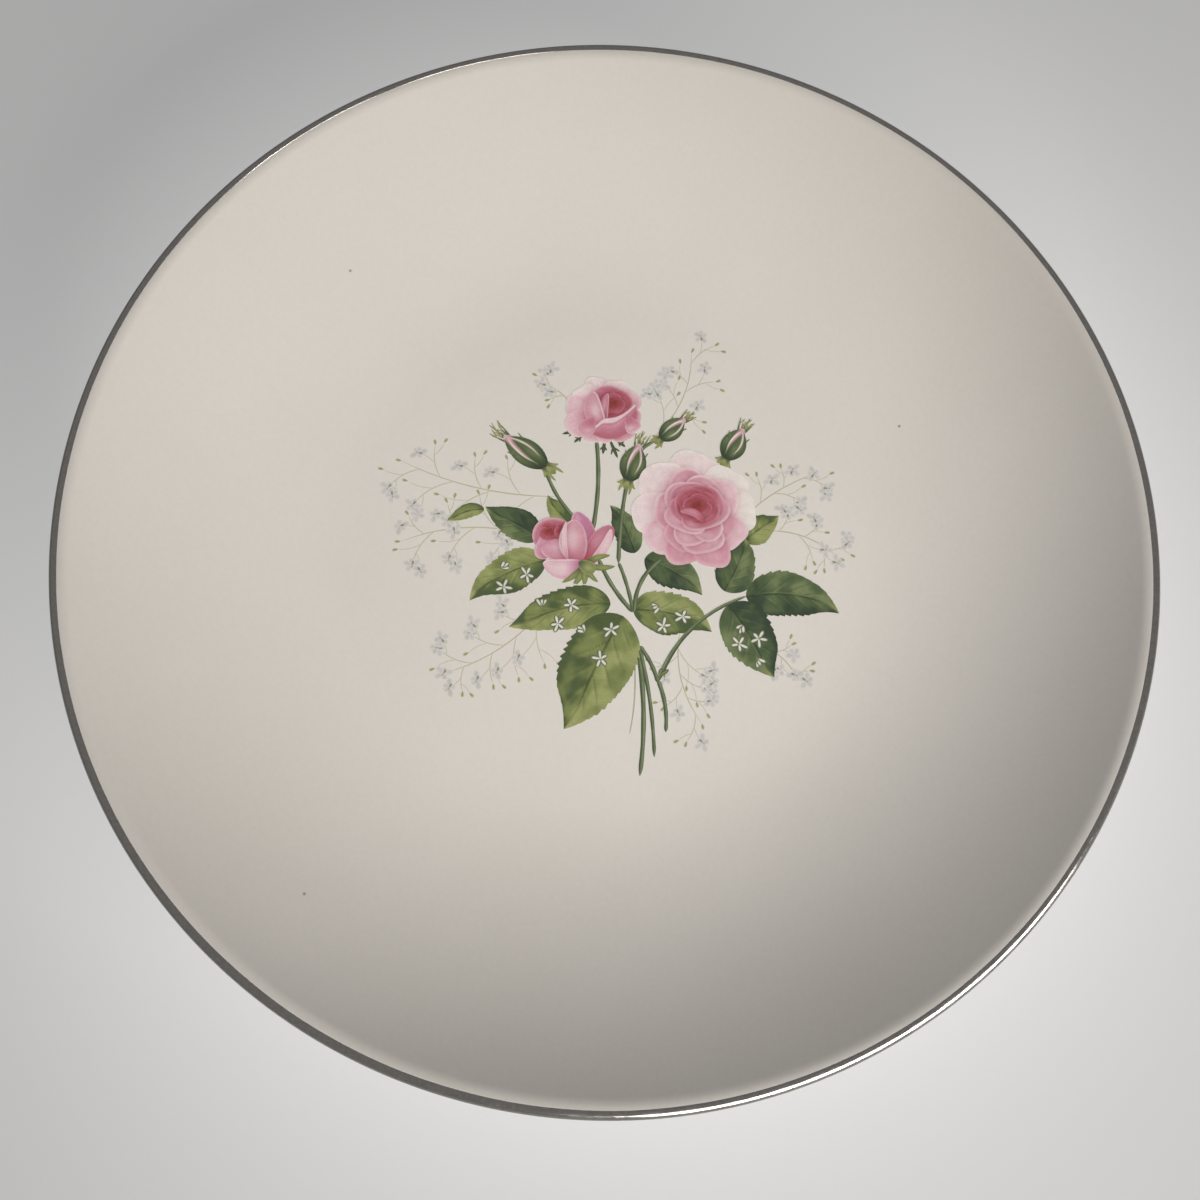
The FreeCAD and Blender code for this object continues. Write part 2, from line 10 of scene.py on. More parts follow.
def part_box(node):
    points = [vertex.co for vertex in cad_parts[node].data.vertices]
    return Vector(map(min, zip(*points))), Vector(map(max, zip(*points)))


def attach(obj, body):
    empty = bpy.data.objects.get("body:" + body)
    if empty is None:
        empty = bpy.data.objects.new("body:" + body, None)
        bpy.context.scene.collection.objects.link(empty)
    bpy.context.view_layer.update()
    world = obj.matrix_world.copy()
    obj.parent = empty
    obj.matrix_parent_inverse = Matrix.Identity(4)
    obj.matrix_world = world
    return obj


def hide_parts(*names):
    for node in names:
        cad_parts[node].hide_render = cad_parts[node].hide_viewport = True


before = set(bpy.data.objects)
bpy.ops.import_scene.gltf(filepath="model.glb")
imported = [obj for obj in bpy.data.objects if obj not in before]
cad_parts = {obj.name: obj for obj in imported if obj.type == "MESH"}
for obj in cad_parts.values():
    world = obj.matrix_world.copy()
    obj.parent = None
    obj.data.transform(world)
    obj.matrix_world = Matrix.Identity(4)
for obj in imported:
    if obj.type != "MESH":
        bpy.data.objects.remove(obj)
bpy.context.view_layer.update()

MM = 0.001
TAU = 2 * math.pi

# ---- colour ----


def linear(seen):
    """An 8-bit display colour as linear light."""
    c = np.asarray(seen, float) / 255
    return np.where(c <= 0.04045, c / 12.92, ((c + 0.055) / 1.055) ** 2.4)


IVORY = np.array((0.700, 0.662, 0.608))
IVORY_SEEN = linear((205, 196, 187))


def ink(*seen):
    """The albedo of a print colour, given how it looks beside glaze that looks (205, 196, 187)."""
    return linear(seen) / IVORY_SEEN * IVORY


def mix(a, b, share):
    """Blends colours by an array of shares."""
    share = np.asarray(share)[..., None]
    return a * (1 - share) + b * share


def smooth(low, high, x):
    """A soft step from 0 at low to 1 at high."""
    t = np.clip((x - low) / (high - low), 0, 1)
    return t * t * (3 - 2 * t)


def bell(x, centre, width):
    """A smooth bump, 1 at its centre and fading over a width."""
    return np.exp(-(((x - centre) / width) ** 2))


# ---- the plate's section ----

# The plate's sizes, in millimetres and, for SLOPE, degrees. The first three come from the frame.
glaze_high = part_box("glaze_coat")[1]
recess_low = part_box("foot_recess_glaze")[0]
WELL_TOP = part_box("large_rose_enamel")[0].z / MM
EDGE_RADIUS = glaze_high.x / MM
WIPE = recess_low.z / MM
GLAZE = 0.25
WELL_RADIUS = 62.0
SLOPE = 32.0
ROLL = 5.0
NOSE = 1.7
FOOT_OUT = 75.0
FOOT_IN = 72.0
FOOT_DRAFT = 1.2
FOOT_BLEND = 2.0
RECESS_TOP = 2.8
BAND = 0.08

# Where the metal line's two borders lie round the nose, in degrees above straight outward.
LINE_UPPER = 100
LINE_LOWER = -12
# How far a printed sheet's hidden lower face lies under the glaze, in millimetres.
PRINT_SINK = 0.02
# Segments of each turned mesh round the plate's axis.
COAT_SEGMENTS = 400
RECESS_SEGMENTS = 300
LINE_SEGMENTS = 900

slope = math.radians(SLOPE)
nose_x = EDGE_RADIUS - NOSE - GLAZE
sweep = (nose_x - WELL_RADIUS) / math.sin(slope)
FLANK = sweep - ROLL
FLANK_CENTRE = np.array((WELL_RADIUS, WELL_TOP - GLAZE + FLANK))
ROLL_CENTRE = FLANK_CENTRE + sweep * np.array((math.sin(slope), -math.cos(slope)))
NOSE_CENTRE = ROLL_CENTRE + np.array((0.0, ROLL - NOSE))


def arc_points(centre, radius, start, end, count):
    """Points (radius, height) along an arc, angles in degrees."""
    angle = np.radians(np.linspace(start, end, count))
    return [centre + radius * np.array((math.cos(a), math.sin(a))) for a in angle]


def rounded(corner, before, after, reach, count):
    """A corner between two directions, eased over a reach each way."""
    a = corner + (before - corner) / np.linalg.norm(before - corner) * reach
    b = corner + (after - corner) / np.linalg.norm(after - corner) * reach
    return [(1 - t) ** 2 * a + 2 * t * (1 - t) * corner + t * t * b for t in np.linspace(0, 1, count)]


def plate_section(skin, density):
    """The face from the centre out, over the nose and down the back to the foot, at a skin outside the
    bisque."""
    def steps(count):
        return max(3, int(count * density))

    wall = 2 * NOSE
    points = [np.array((r, WELL_TOP - GLAZE + skin)) for r in np.linspace(0, WELL_RADIUS, steps(16))]
    points += arc_points(FLANK_CENTRE, FLANK - skin, -90, SLOPE - 90, steps(44))[1:]
    points += arc_points(ROLL_CENTRE, ROLL + skin, 90 + SLOPE, 90, steps(18))[1:]
    points += arc_points(NOSE_CENTRE, NOSE + skin, 90, -90, steps(26))[1:]
    points += arc_points(ROLL_CENTRE, ROLL - wall - skin, 90, 90 + SLOPE, steps(10))[1:]
    back = FLANK + wall + skin
    shoulder_r = FOOT_OUT + FOOT_DRAFT + skin
    junction = math.degrees(math.asin((shoulder_r - FLANK_CENTRE[0]) / back))
    flank = arc_points(FLANK_CENTRE, back, SLOPE - 90, junction - 90, steps(44))[1:]
    shoulder = flank[-1]
    sole = np.array((FOOT_OUT + skin, 0.0))
    corner = rounded(shoulder, flank[-3], sole, FOOT_BLEND, steps(8))
    points += [p for p in flank if p[0] > corner[0][0] + 0.3] + corner
    return points, sole


def down_to(points, sole, height):
    """Extends a section down the foot's flank to a height."""
    last = points[-1]
    share = (last[1] - height) / (last[1] - sole[1])
    return points + [last + (sole - last) * s * share for s in (0.5, 1.0)]


def coat_section():
    """The closed skin of glaze over face, nose and back, with a rounded lip where it is wiped off the
    foot."""
    outer, sole = plate_section(GLAZE, 1.0)
    inner, inner_sole = plate_section(0.0, 0.5)
    outer = down_to(outer, sole, WIPE + 0.2)
    inner = down_to(inner, inner_sole, WIPE)
    lip = [np.array((outer[-1][0] - GLAZE * a, WIPE + b)) for a, b in ((0.08, 0.09), (0.3, 0.02))]
    return outer + lip + inner[::-1]


def recess_section():
    """The disc of glaze inside the foot ring, up its inner wall to the wipe line."""
    corner = np.array((FOOT_IN - FOOT_DRAFT, RECESS_TOP))
    foot = np.array((FOOT_IN, 0.0))
    centre = np.array((0.0, RECESS_TOP))
    wall_r = FOOT_IN - FOOT_DRAFT * WIPE / RECESS_TOP
    bare = [np.array((r, RECESS_TOP)) for r in np.linspace(0, corner[0] - 4, 8)]
    bare += rounded(corner, centre, foot, 1.8, 7) + [np.array((wall_r, WIPE))]
    shift = np.array((GLAZE, GLAZE))
    glazed = [np.array((r, RECESS_TOP - GLAZE)) for r in np.linspace(0, corner[0] - 4, 14)]
    glazed += rounded(corner - shift, centre - shift, foot - shift, 1.6, 9)
    glazed += [np.array((wall_r - GLAZE, WIPE + 0.12)), np.array((wall_r - 0.6 * GLAZE, WIPE + 0.01))]
    return bare + glazed[::-1]


# ---- meshes ----


def mesh_object(name, verts, faces, smooth_faces=True):
    """A mesh object in metres from millimetre vertices."""
    mesh = bpy.data.meshes.new(name)
    mesh.from_pydata((np.asarray(verts) * MM).tolist(), [], faces)
    mesh.polygons.foreach_set("use_smooth", [smooth_faces] * len(mesh.polygons))
    mesh.validate()
    mesh.update()
    obj = bpy.data.objects.new(name, mesh)
    bpy.context.scene.collection.objects.link(obj)
    return obj


def outward(obj):
    """Turns a closed mesh's faces outward."""
    mesh = obj.data
    count = len(mesh.vertices)
    co = np.zeros(count * 3)
    mesh.vertices.foreach_get("co", co)
    co = co.reshape(-1, 3)
    mesh.calc_loop_triangles()
    tri = np.zeros(len(mesh.loop_triangles) * 3, int)
    mesh.loop_triangles.foreach_get("vertices", tri)
    a, b, c = (co[tri.reshape(-1, 3)[:, i]] for i in range(3))
    if np.einsum("ij,ij->i", a, np.cross(b, c)).sum() < 0:
        mesh.flip_normals()
    return obj


def turned(name, section, segments):
    """A section with both ends on the axis, turned into a closed mesh."""
    section = np.array(section)
    body = section[1:-1]
    angle = np.arange(segments) * TAU / segments
    rings = np.stack(
        [np.outer(body[:, 0], np.cos(angle)), np.outer(body[:, 0], np.sin(angle)),
         np.repeat(body[:, 1:], segments, 1)], -1
    ).reshape(-1, 3)
    verts = np.vstack([rings, (0, 0, section[0, 1]), (0, 0, section[-1, 1])])
    first_pole, last_pole = len(rings), len(rings) + 1
    faces = []
    here = np.arange(segments)
    after = (here + 1) % segments
    for ring in range(len(body) - 1):
        low, high = ring * segments, (ring + 1) * segments
        faces += np.stack([low + here, high + here, high + after, low + after], 1).tolist()
    end = (len(body) - 1) * segments
    faces += np.stack([np.full(segments, first_pole), here, after], 1).tolist()
    faces += np.stack([np.full(segments, last_pole), end + after, end + here], 1).tolist()
    return outward(mesh_object(name, verts, faces))


def edge_line(name, segments):
    """The metal edge line. Its two borders waver a little, as a brushed line's do."""
    angle = np.arange(segments) * TAU / segments
    upper = LINE_UPPER + 1.6 * np.sin(5 * angle + 1) + 1.2 * np.sin(13 * angle) + 0.7 * np.sin(31 * angle + 2)
    lower = LINE_LOWER + 2.0 * np.sin(4 * angle + 2) + 1.5 * np.sin(11 * angle + 1) + 0.8 * np.sin(27 * angle)
    across = 16
    share = np.linspace(0, 1, across)
    around = np.radians(lower[:, None] * (1 - share) + upper[:, None] * share)
    thin_ends = np.minimum(1, 6 * np.minimum(share, 1 - share) + 0.15)
    outer = NOSE + GLAZE + BAND * thin_ends
    loops = []
    skins = ((np.broadcast_to(outer, around.shape), around), (NOSE + GLAZE - 0.01, around[:, ::-1]))
    for radius, turn in skins:
        r = NOSE_CENTRE[0] + radius * np.cos(turn)
        z = NOSE_CENTRE[1] + radius * np.sin(turn)
        loops.append(np.stack([r * np.cos(angle)[:, None], r * np.sin(angle)[:, None], z], -1))
    ring = np.concatenate(loops, 1)
    width = ring.shape[1]
    index = np.arange(segments * width).reshape(segments, width)
    nxt = np.roll(index, -1, 0)
    faces = np.stack([index, nxt, np.roll(nxt, -1, 1), np.roll(index, -1, 1)], -1).reshape(-1, 4)
    return outward(mesh_object(name, ring.reshape(-1, 3), faces.tolist()))


# ---- the print ----


class Sheet:
    """Printed patches gathered into one closed-skin mesh, with a colour and an ink strength at each point."""

    def __init__(self):
        self.verts, self.faces, self.rgb, self.ink = [], [], [], []
        self.count = self.patches = 0

    def _add(self, xy, rgb, strength, top, quads, rim):
        """Adds a patch: its upper face, the same face below, and walls along its rim of directed edges."""
        n = len(xy)
        for z in (WELL_TOP + top, WELL_TOP - PRINT_SINK):
            self.verts.append(np.column_stack([xy, np.full(n, z)]))
            self.rgb.append(rgb)
            self.ink.append(strength)
        upper = quads + self.count
        a, b = (rim + self.count).T
        walls = np.stack([b, a, a + n, b + n], 1)
        self.faces += upper.tolist() + (upper[:, ::-1] + n).tolist() + walls.tolist()
        self.count += 2 * n
        self.patches += 1

    def grid(self, xy, rgb, strength, top):
        """A patch whose points form a grid."""
        rows, columns = xy.shape[:2]
        rgb = np.broadcast_to(rgb, (rows, columns, 3))
        strength = np.broadcast_to(strength, (rows, columns))
        du = xy[1:, :-1] - xy[:-1, :-1]
        dv = xy[:-1, 1:] - xy[:-1, :-1]
        if (du[..., 0] * dv[..., 1] - du[..., 1] * dv[..., 0]).sum() < 0:
            xy, rgb, strength = xy[:, ::-1], rgb[:, ::-1], strength[:, ::-1]
        index = np.arange(rows * columns).reshape(rows, columns)
        quads = np.stack([index[:-1, :-1], index[1:, :-1], index[1:, 1:], index[:-1, 1:]], -1).reshape(-1, 4)
        loop = np.concatenate([index[:, 0], index[-1, 1:], index[-2::-1, -1], index[0, -2:0:-1]])
        rim = np.stack([loop, np.roll(loop, -1)], 1)
        self._add(xy.reshape(-1, 2), rgb.reshape(-1, 3), strength.reshape(-1), top, quads, rim)

    def canvas(self, canvas, top):
        """The painted cells of a canvas, with their outline moved onto the painted border."""
        rows, columns = canvas.depth.shape
        index = np.arange(rows * columns).reshape(rows, columns)
        corners = [slice(None, -1), slice(1, None)]
        mean = sum(canvas.depth[i, j] for i in corners for j in corners) / 4
        cell = mean > 0
        around = [index[:-1, :-1], index[:-1, 1:], index[1:, 1:], index[1:, :-1]]
        padded = np.pad(cell, 1)
        outside = [~padded[:-2, 1:-1], ~padded[1:-1, 2:], ~padded[2:, 1:-1], ~padded[1:-1, :-2]]
        rim = []
        for side in range(4):
            edge = cell & outside[side]
            rim.append(np.stack([around[side][edge], around[(side + 1) % 4][edge]], 1))
        rim = np.concatenate(rim)
        quads = np.stack(around, -1)[cell]
        slope_y, slope_x = np.gradient(canvas.depth, canvas.step)
        steep = np.maximum(slope_x ** 2 + slope_y ** 2, 0.2)
        pull = -canvas.depth / steep
        limit = 0.48 * canvas.step
        border = np.zeros(rows * columns, bool)
        border[rim] = True
        border = border.reshape(rows, columns)
        x = canvas.x + np.where(border, np.clip(pull * slope_x, -limit, limit), 0)
        y = canvas.y + np.where(border, np.clip(pull * slope_y, -limit, limit), 0)
        used = np.unique(quads)
        renumber = np.zeros(rows * columns, int)
        renumber[used] = np.arange(len(used))
        xy = np.stack([x, y], -1).reshape(-1, 2)[used]
        rgb = canvas.rgb.reshape(-1, 3)[used]
        self._add(xy, rgb, np.ones(len(used)), top, renumber[quads], renumber[rim])

    def build(self, name, node, slot):
        """The finished piece, standing for its plain CAD node."""
        obj = mesh_object(name, np.vstack(self.verts), self.faces, smooth_faces=False)
        mesh = obj.data
        colour = mesh.attributes.new("print_colour", "FLOAT_COLOR", "POINT")
        rgb = np.clip(np.vstack(self.rgb), 0, 1)
        colour.data.foreach_set("color", np.column_stack([rgb, np.ones(len(rgb))]).astype(np.float32).ravel())
        strength = mesh.attributes.new("print_ink", "FLOAT", "POINT")
        strength.data.foreach_set("value", np.concatenate(self.ink).astype(np.float32))
        obj.data.materials.append(PRINT)
        return settle(obj, node)


class Canvas:
    """A fine grid of points that motifs are painted on, in plate millimetres. depth is how far inside the
    painted border a point lies."""

    def __init__(self, centre, half_width, half_height, step):
        x = np.arange(-half_width, half_width + step / 2, step) + centre[0]
        y = np.arange(-half_height, half_height + step / 2, step) + centre[1]
        self.step = step
        self.x, self.y = np.meshgrid(x, y)
        self.rgb = np.broadcast_to(IVORY, self.x.shape + (3,)).copy()
        self.ink = np.zeros(self.x.shape)
        self.depth = np.full(self.x.shape, -10.0)

    def lay(self, edge, rgb, soft=0.16):
        """Paints a colour inside a border, given each point's distance inside it."""
        mask = smooth(-soft, soft, edge)
        ink = mask + self.ink * (1 - mask)
        self.rgb = mix(self.rgb, rgb, mask / np.maximum(ink, 1e-6))
        self.ink = ink
        self.depth = np.maximum(self.depth, edge)

    def cast(self, edge, amount, reach):
        """Shades what lies outside a border and is already painted."""
        fall = amount * np.exp(np.minimum(edge, 0) / reach) * (edge < 0)
        self.rgb = mix(self.rgb, self.rgb * SHADOW_TINT, fall * self.ink)


def clouds(x, y, size, seed):
    """Soft irregular patches of about a given size, from -1 to 1."""
    total = np.zeros(np.broadcast(x, y).shape)
    for turn in range(4):
        a = 1.7 * seed + 2.4 * turn
        k = TAU / size * (0.6 + 0.25 * turn)
        along = x * math.cos(a) + y * math.sin(a)
        across = y * math.cos(a) - x * math.sin(a)
        total = total + np.sin(k * along + 3.1 * turn + seed + 1.1 * np.sin(0.7 * k * across + seed))
    return np.clip(total / 2.6, -1, 1)


def petal(canvas, root, angle, half, reach, tones, seed, squash=1.0, shadow=0.34):
    """One rose petal that fans out from a root. tones are its deep, middle and lip colours."""
    deep, middle, lip = tones
    dx = canvas.x - root[0]
    dy = (canvas.y - root[1]) / squash
    r = np.hypot(dx, dy)
    f = (np.mod(np.arctan2(dy, dx) - math.radians(angle) + math.pi, TAU) - math.pi) / math.radians(half)
    wave = 1 + 0.045 * np.sin(2.7 * f + 1.9 * seed) + 0.022 * np.sin(6.1 * f + 2.3 * seed)
    rim = reach * wave * np.clip(1 - np.abs(f) ** 2.8, 0, 1) ** 0.40
    edge = rim - r
    canvas.cast(edge, shadow, 0.05 * reach + 0.45)
    s = np.clip(r / np.maximum(rim, 0.01), 0, 1)
    rgb = mix(deep, middle, smooth(0.28, 0.86, s))
    glow = bell(f, 0.4 * math.sin(2.1 * seed), 0.42) * bell(s, 0.72, 0.17)
    rgb = mix(rgb, lip, 0.50 * glow)
    streak = 0.5 + 0.5 * np.sin(19 * f + 2 * np.sin(5 * f + seed))
    rgb = mix(rgb, deep, 0.12 * streak * smooth(0.25, 0.6, s) * (1 - smooth(0.75, 0.98, s)))
    rgb = mix(rgb, deep, 0.42 * smooth(0.50, 1.0, np.abs(f)) * (1 - 0.5 * smooth(0.8, 1.0, s)))
    thickness = 0.16 + 0.030 * reach
    rgb = mix(rgb, middle, 0.35 * bell(edge / thickness, 2.4, 0.9))
    fleck = 0.62 + 0.24 * np.sin(3.3 * f + 2.9 * seed)
    rgb = mix(rgb, lip, fleck * smooth(2.6 * thickness, 0.3 * thickness, edge))
    canvas.lay(edge, rgb)


def lobe(canvas, base, tip, width, tones, bow=0.0, belly=0.5, light=(0.0, 0.6), rims=(0.6, 0.6), shadow=0.3):
    """A drop-shaped petal or sepal from its base to its tip. tones are its deep, middle and lip colours,
    light is where it is brightest (across, along), and rims say how far its left and right borders take the
    lip colour."""
    deep, middle, lip = tones
    base, tip = np.array(base, float), np.array(tip, float)
    way = tip - base
    length = np.linalg.norm(way)
    way = way / length
    dx, dy = canvas.x - base[0], canvas.y - base[1]
    u = (dx * way[0] + dy * way[1]) / length
    inside = np.clip(u, 0, 1)
    p = dy * way[0] - dx * way[1] - 4 * bow * inside * (1 - inside)
    rise, drop = 1.1 * belly, 1.1 * (1 - belly)
    peak = belly ** rise * (1 - belly) ** drop
    half = width / 2 * inside ** rise * (1 - inside) ** drop / peak
    beyond = np.maximum(0, np.abs(u - 0.5) - 0.5) * length
    edge = half - np.abs(p) - beyond
    canvas.cast(edge, shadow, 0.04 * length + 0.3)
    v = p / np.maximum(half, 0.05)
    rgb = mix(deep, middle, smooth(0.0, 0.55, inside))
    glow = bell(v, light[0], 0.50) * bell(inside, light[1], 0.24)
    rgb = mix(rgb, lip, 0.60 * glow)
    rgb = mix(rgb, deep, 0.40 * smooth(0.55, 1.0, np.abs(v)))
    border = 0.12 + 0.05 * width
    share = np.where(p > 0, rims[0], rims[1])
    rim = share * smooth(1.6 * border, 0.3 * border, edge) * smooth(0.05, 0.3, inside)
    rgb = mix(rgb, lip, np.clip(rim, 0, 1))
    canvas.lay(edge, rgb)


def leaf_frame(base, tip, bow, shares, hook=0.0):
    """Points and left-hand normals along a bowed line from base to tip, which may hook to the left near its
    tip."""
    a, b = np.array(base, float), np.array(tip, float)
    way = b - a
    side = np.array((-way[1], way[0])) / np.linalg.norm(way)
    u = np.asarray(shares, float)[:, None]
    late = np.clip((u - 0.7) / 0.3, 0, 1)
    line = a + way * u + side * (4 * bow * u * (1 - u) + hook * late ** 2)
    tangent = way + side * (4 * bow * (1 - 2 * u) + hook * 2 * late / 0.3)
    tangent /= np.linalg.norm(tangent, axis=1, keepdims=True)
    return line, np.column_stack([-tangent[:, 1], tangent[:, 0]])


def beside_line(line, normal, offset):
    """A grid of points at offsets to the left of a line, with a row for each point of the line."""
    return line[:, None] + normal[:, None] * offset[..., None]


def leaf(sheet, base, tip, fullness, bow, tones, lit, top, seed):
    """A serrated leaf with a hooked tip. tones are its dark, middle, light and tip colours; lit is its
    lighter side, 1 for left."""
    dark, middle, light, tip_tone = tones
    u = np.linspace(0, 1, 121)
    v = np.linspace(-1, 1, 33)
    length = math.dist(base, tip)
    line, normal = leaf_frame(base, tip, bow, u, hook=-0.045 * length * lit)
    outline = u ** 0.60 * (1 - u) ** 0.95 * (1 - 0.16 * smooth(0.72, 0.98, u))
    outline = outline / outline.max() * length * fullness / 4
    teeth = max(6, int(length / 1.7))
    halves = []
    for side in (-1, 1):
        place = u * teeth + seed + 0.4 * side
        size = 0.065 + 0.045 * np.sin(5.7 * np.floor(place) + 2 * side + seed)
        lobes = 1 + 0.05 * np.sin(9 * u + 2 * side + seed)
        bite = 1 - size * (1 - np.mod(place, 1.0)) * smooth(0.10, 0.25, u) * smooth(1.0, 0.85, u)
        halves.append(np.maximum(outline * bite * lobes, 0.05))
    uu, vv = np.meshgrid(u, v, indexing="ij")
    half = np.where(vv < 0, halves[0][:, None], halves[1][:, None])
    xy = beside_line(line, normal, half * vv)
    x, y = xy[..., 0], xy[..., 1]
    across = np.abs(vv) * half
    phase = (uu - 0.32 * np.abs(vv) ** 0.8) * 5.6 + seed + 0.4 * (vv > 0)
    rib_gap = np.abs(np.mod(phase, 1.0) - 0.5)
    rib_reach = smooth(0.03, 0.14, uu) * smooth(0.92, 0.35, np.abs(vv)) * smooth(0.9, 0.7, uu)
    rib = bell(rib_gap, 0, 0.05) * rib_reach
    beside = bell(np.mod(phase, 1.0), 0.68, 0.11) * smooth(0.9, 0.3, np.abs(vv))
    value = 0.46 + 0.26 * lit * np.tanh(1.8 * vv) + 0.30 * clouds(x, y, 9.0, seed)
    value += 0.08 * clouds(x, y, 3.0, seed + 2)
    value += 0.18 * beside + 0.20 * bell(lit * vv, 0.35, 0.22) * smooth(0.1, 0.4, uu)
    dimmed = 0.25 * smooth(0.75, 1.0, -lit * vv) + 0.30 * smooth(0.22, 0.0, uu)
    value -= dimmed - 0.10 * smooth(0.8, 1.0, lit * vv)
    rgb = mix(dark, middle, smooth(0.0, 0.55, value))
    rgb = mix(rgb, light, 0.9 * smooth(0.52, 1.0, value))
    cool = dark * (0.92, 1.0, 1.28)
    rgb = mix(rgb, cool, 0.45 * smooth(0.25, 0.9, clouds(x, y, 9.0, seed + 5)) * smooth(0.6, 0.2, value))
    rgb = mix(rgb, tip_tone, 0.65 * smooth(0.84, 0.96, uu) * smooth(-0.2, 0.4, lit * vv))
    rgb = mix(rgb, dark * 0.80, 0.55 * rib)
    vein = bell(across, 0, 0.22) * smooth(0.93, 0.75, uu)
    rgb = mix(rgb, dark * 0.58, 0.88 * vein * (0.75 + 0.25 * np.sin(17 * uu + seed)))
    pale_vein = bell(vv * lit * half, 0.34, 0.16) * smooth(0.08, 0.2, uu) * smooth(0.8, 0.6, uu)
    rgb = mix(rgb, light, 0.40 * pale_vein)
    sheet.grid(xy, rgb, 1.0, top)


def ribbon(sheet, start, end, bow, widths, tones, top, strength=1.0, rows=40):
    """A drawn stroke. Its width runs from the first to the second of widths, and tones are its dark and light
    sides."""
    u = np.linspace(0, 1, rows)
    v = np.linspace(-1, 1, 7)
    line, normal = leaf_frame(start, end, bow, u)
    half = (widths[0] * (1 - u) + widths[1] * u) / 2
    half = half * (1 + 0.06 * np.sin(21 * u + bow))
    half = half * np.sqrt(np.clip(np.minimum(u, 1 - u) * rows / 2.5, 0.05, 1))
    xy = beside_line(line, normal, half[:, None] * v)
    vv = np.broadcast_to(v, (rows, len(v)))
    patch = 0.5 + 0.5 * clouds(xy[..., 0], xy[..., 1], 5.0, 1.3)
    rgb = mix(tones[0], tones[1], smooth(0.9, -0.2, np.abs(vv - 0.35)) * (0.55 + 0.45 * patch))
    sheet.grid(xy, rgb, strength, top + 0.5 * LAYER * (sheet.patches % 19))


def blade(sheet, root, angle, length, width, rgb, strength, top, outline=None):
    """A small petal, sepal or seed bud that points away from its root. An outline colour gives it a drawn
    border, and without one it fades out softly."""
    u = np.linspace(0, 1, 9)
    v = np.linspace(-1, 1, 7)
    a = math.radians(angle)
    tip = (root[0] + length * math.cos(a), root[1] + length * math.sin(a))
    line, normal = leaf_frame(root, tip, 0.0, u)
    half = np.maximum(width / 2 * (u ** 0.7 * (1 - u) ** 0.55) / 0.48, 0.02)
    xy = beside_line(line, normal, half[:, None] * v)
    uu, vv = np.meshgrid(u, v, indexing="ij")
    body = np.broadcast_to(rgb, uu.shape + (3,))
    height = top + 0.5 * LAYER * (sheet.patches % 31)
    if outline is not None:
        border = np.maximum(smooth(0.36, 0.66, np.abs(vv)), smooth(0.80, 0.94, uu))
        sheet.grid(xy, mix(body, outline, 0.92 * border), strength, height)
    else:
        fade = np.clip(1 - vv ** 2, 0, 1) ** 0.8 * smooth(1.02, 0.7, uu)
        sheet.grid(xy, body, strength * fade, height)


def gold_step(number):
    """Evenly spread turns, in degrees."""
    return (number * 137.508) % 360


# Print colours, as they look beside the glaze.
SHADOW_TINT = np.array((0.66, 0.40, 0.46))
GARNET, CORAL, ROSE, PINK, BLUSH, PALE, CREAM = (
    ink(*c) for c in ((138, 62, 60), (158, 78, 86), (176, 108, 122), (192, 137, 148), (207, 168, 173),
                      (213, 191, 189), (214, 203, 195))
)
MAUVE, LILAC = ink(176, 112, 138), ink(206, 170, 182)
DEEP_GREEN, LEAF_GREEN, SAGE = ink(54, 64, 48), ink(78, 89, 60), ink(112, 120, 82)
OLIVE, MOSS, LIME, STRAW = ink(74, 84, 52), ink(115, 121, 73), ink(144, 145, 94), ink(162, 155, 108)
STEM_DARK, STEM_LIGHT = ink(70, 80, 56), ink(132, 137, 104)
STALK = ink(156, 146, 106)
FLORET_BLUE, FLORET_LILAC, FLORET_HEART, SEED_GREEN = (
    ink(*c) for c in ((156, 157, 151), (172, 165, 166), (96, 104, 76), (134, 134, 76))
)
STAR_WHITE, STAR_LINE, STAR_HEART = ink(202, 198, 182), ink(62, 68, 52), ink(158, 150, 96)

DARK_TONES = (DEEP_GREEN, LEAF_GREEN, SAGE, LIME)
LIGHT_TONES = (OLIVE, MOSS, LIME, STRAW)

PETAL_TONES = (ROSE, PINK, PALE)
HEART_TONES = (GARNET, CORAL, ROSE)

# Bouquet layout, in millimetres from the plate's centre.
# Leaves: base, tip, width over half their length, bow, lighter side.
DARK_LEAVES = [
    ((9.0, -2.0), (23.5, -10.5), 1.08, 0.8, 1),
    ((28.5, -10.0), (34.5, 3.5), 1.40, -0.6, -1),
    ((34.0, -11.5), (57.0, -14.5), 1.02, 2.0, 1),
    ((29.5, -13.5), (39.5, -32.0), 1.28, 0.8, -1),
    ((6.5, -0.5), (1.0, 12.0), 1.04, -0.5, -1),
    ((-17.0, 3.0), (-31.0, 10.5), 1.04, -0.6, 1),
]
LIGHT_LEAVES = [
    ((-31.0, 10.5), (-40.0, 7.0), 0.80, -1.0, 1),
    ((-15.5, -2.5), (-34.5, -12.0), 0.98, -1.2, -1),
    ((0.5, -13.5), (-24.0, -20.5), 0.86, -2.0, 1),
    ((3.5, -16.5), (-9.5, -45.0), 1.18, -0.8, 1),
    ((6.0, -15.0), (25.5, -19.5), 1.12, 1.4, 1),
    ((34.0, 2.5), (43.0, 9.0), 1.30, 0.6, -1),
    ((-9.5, 7.0), (-15.5, 14.0), 1.10, 0.3, 1),
]
# Buds: base, end of the threads, width.
BUDS = [
    ((-15.6, 21.8), (-30.6, 33.4), 6.6),
    ((4.9, 18.2), (9.4, 32.0), 6.6),
    ((13.2, 29.4), (22.4, 37.0), 5.3),
    ((29.6, 24.2), (36.6, 35.6), 6.4),
]
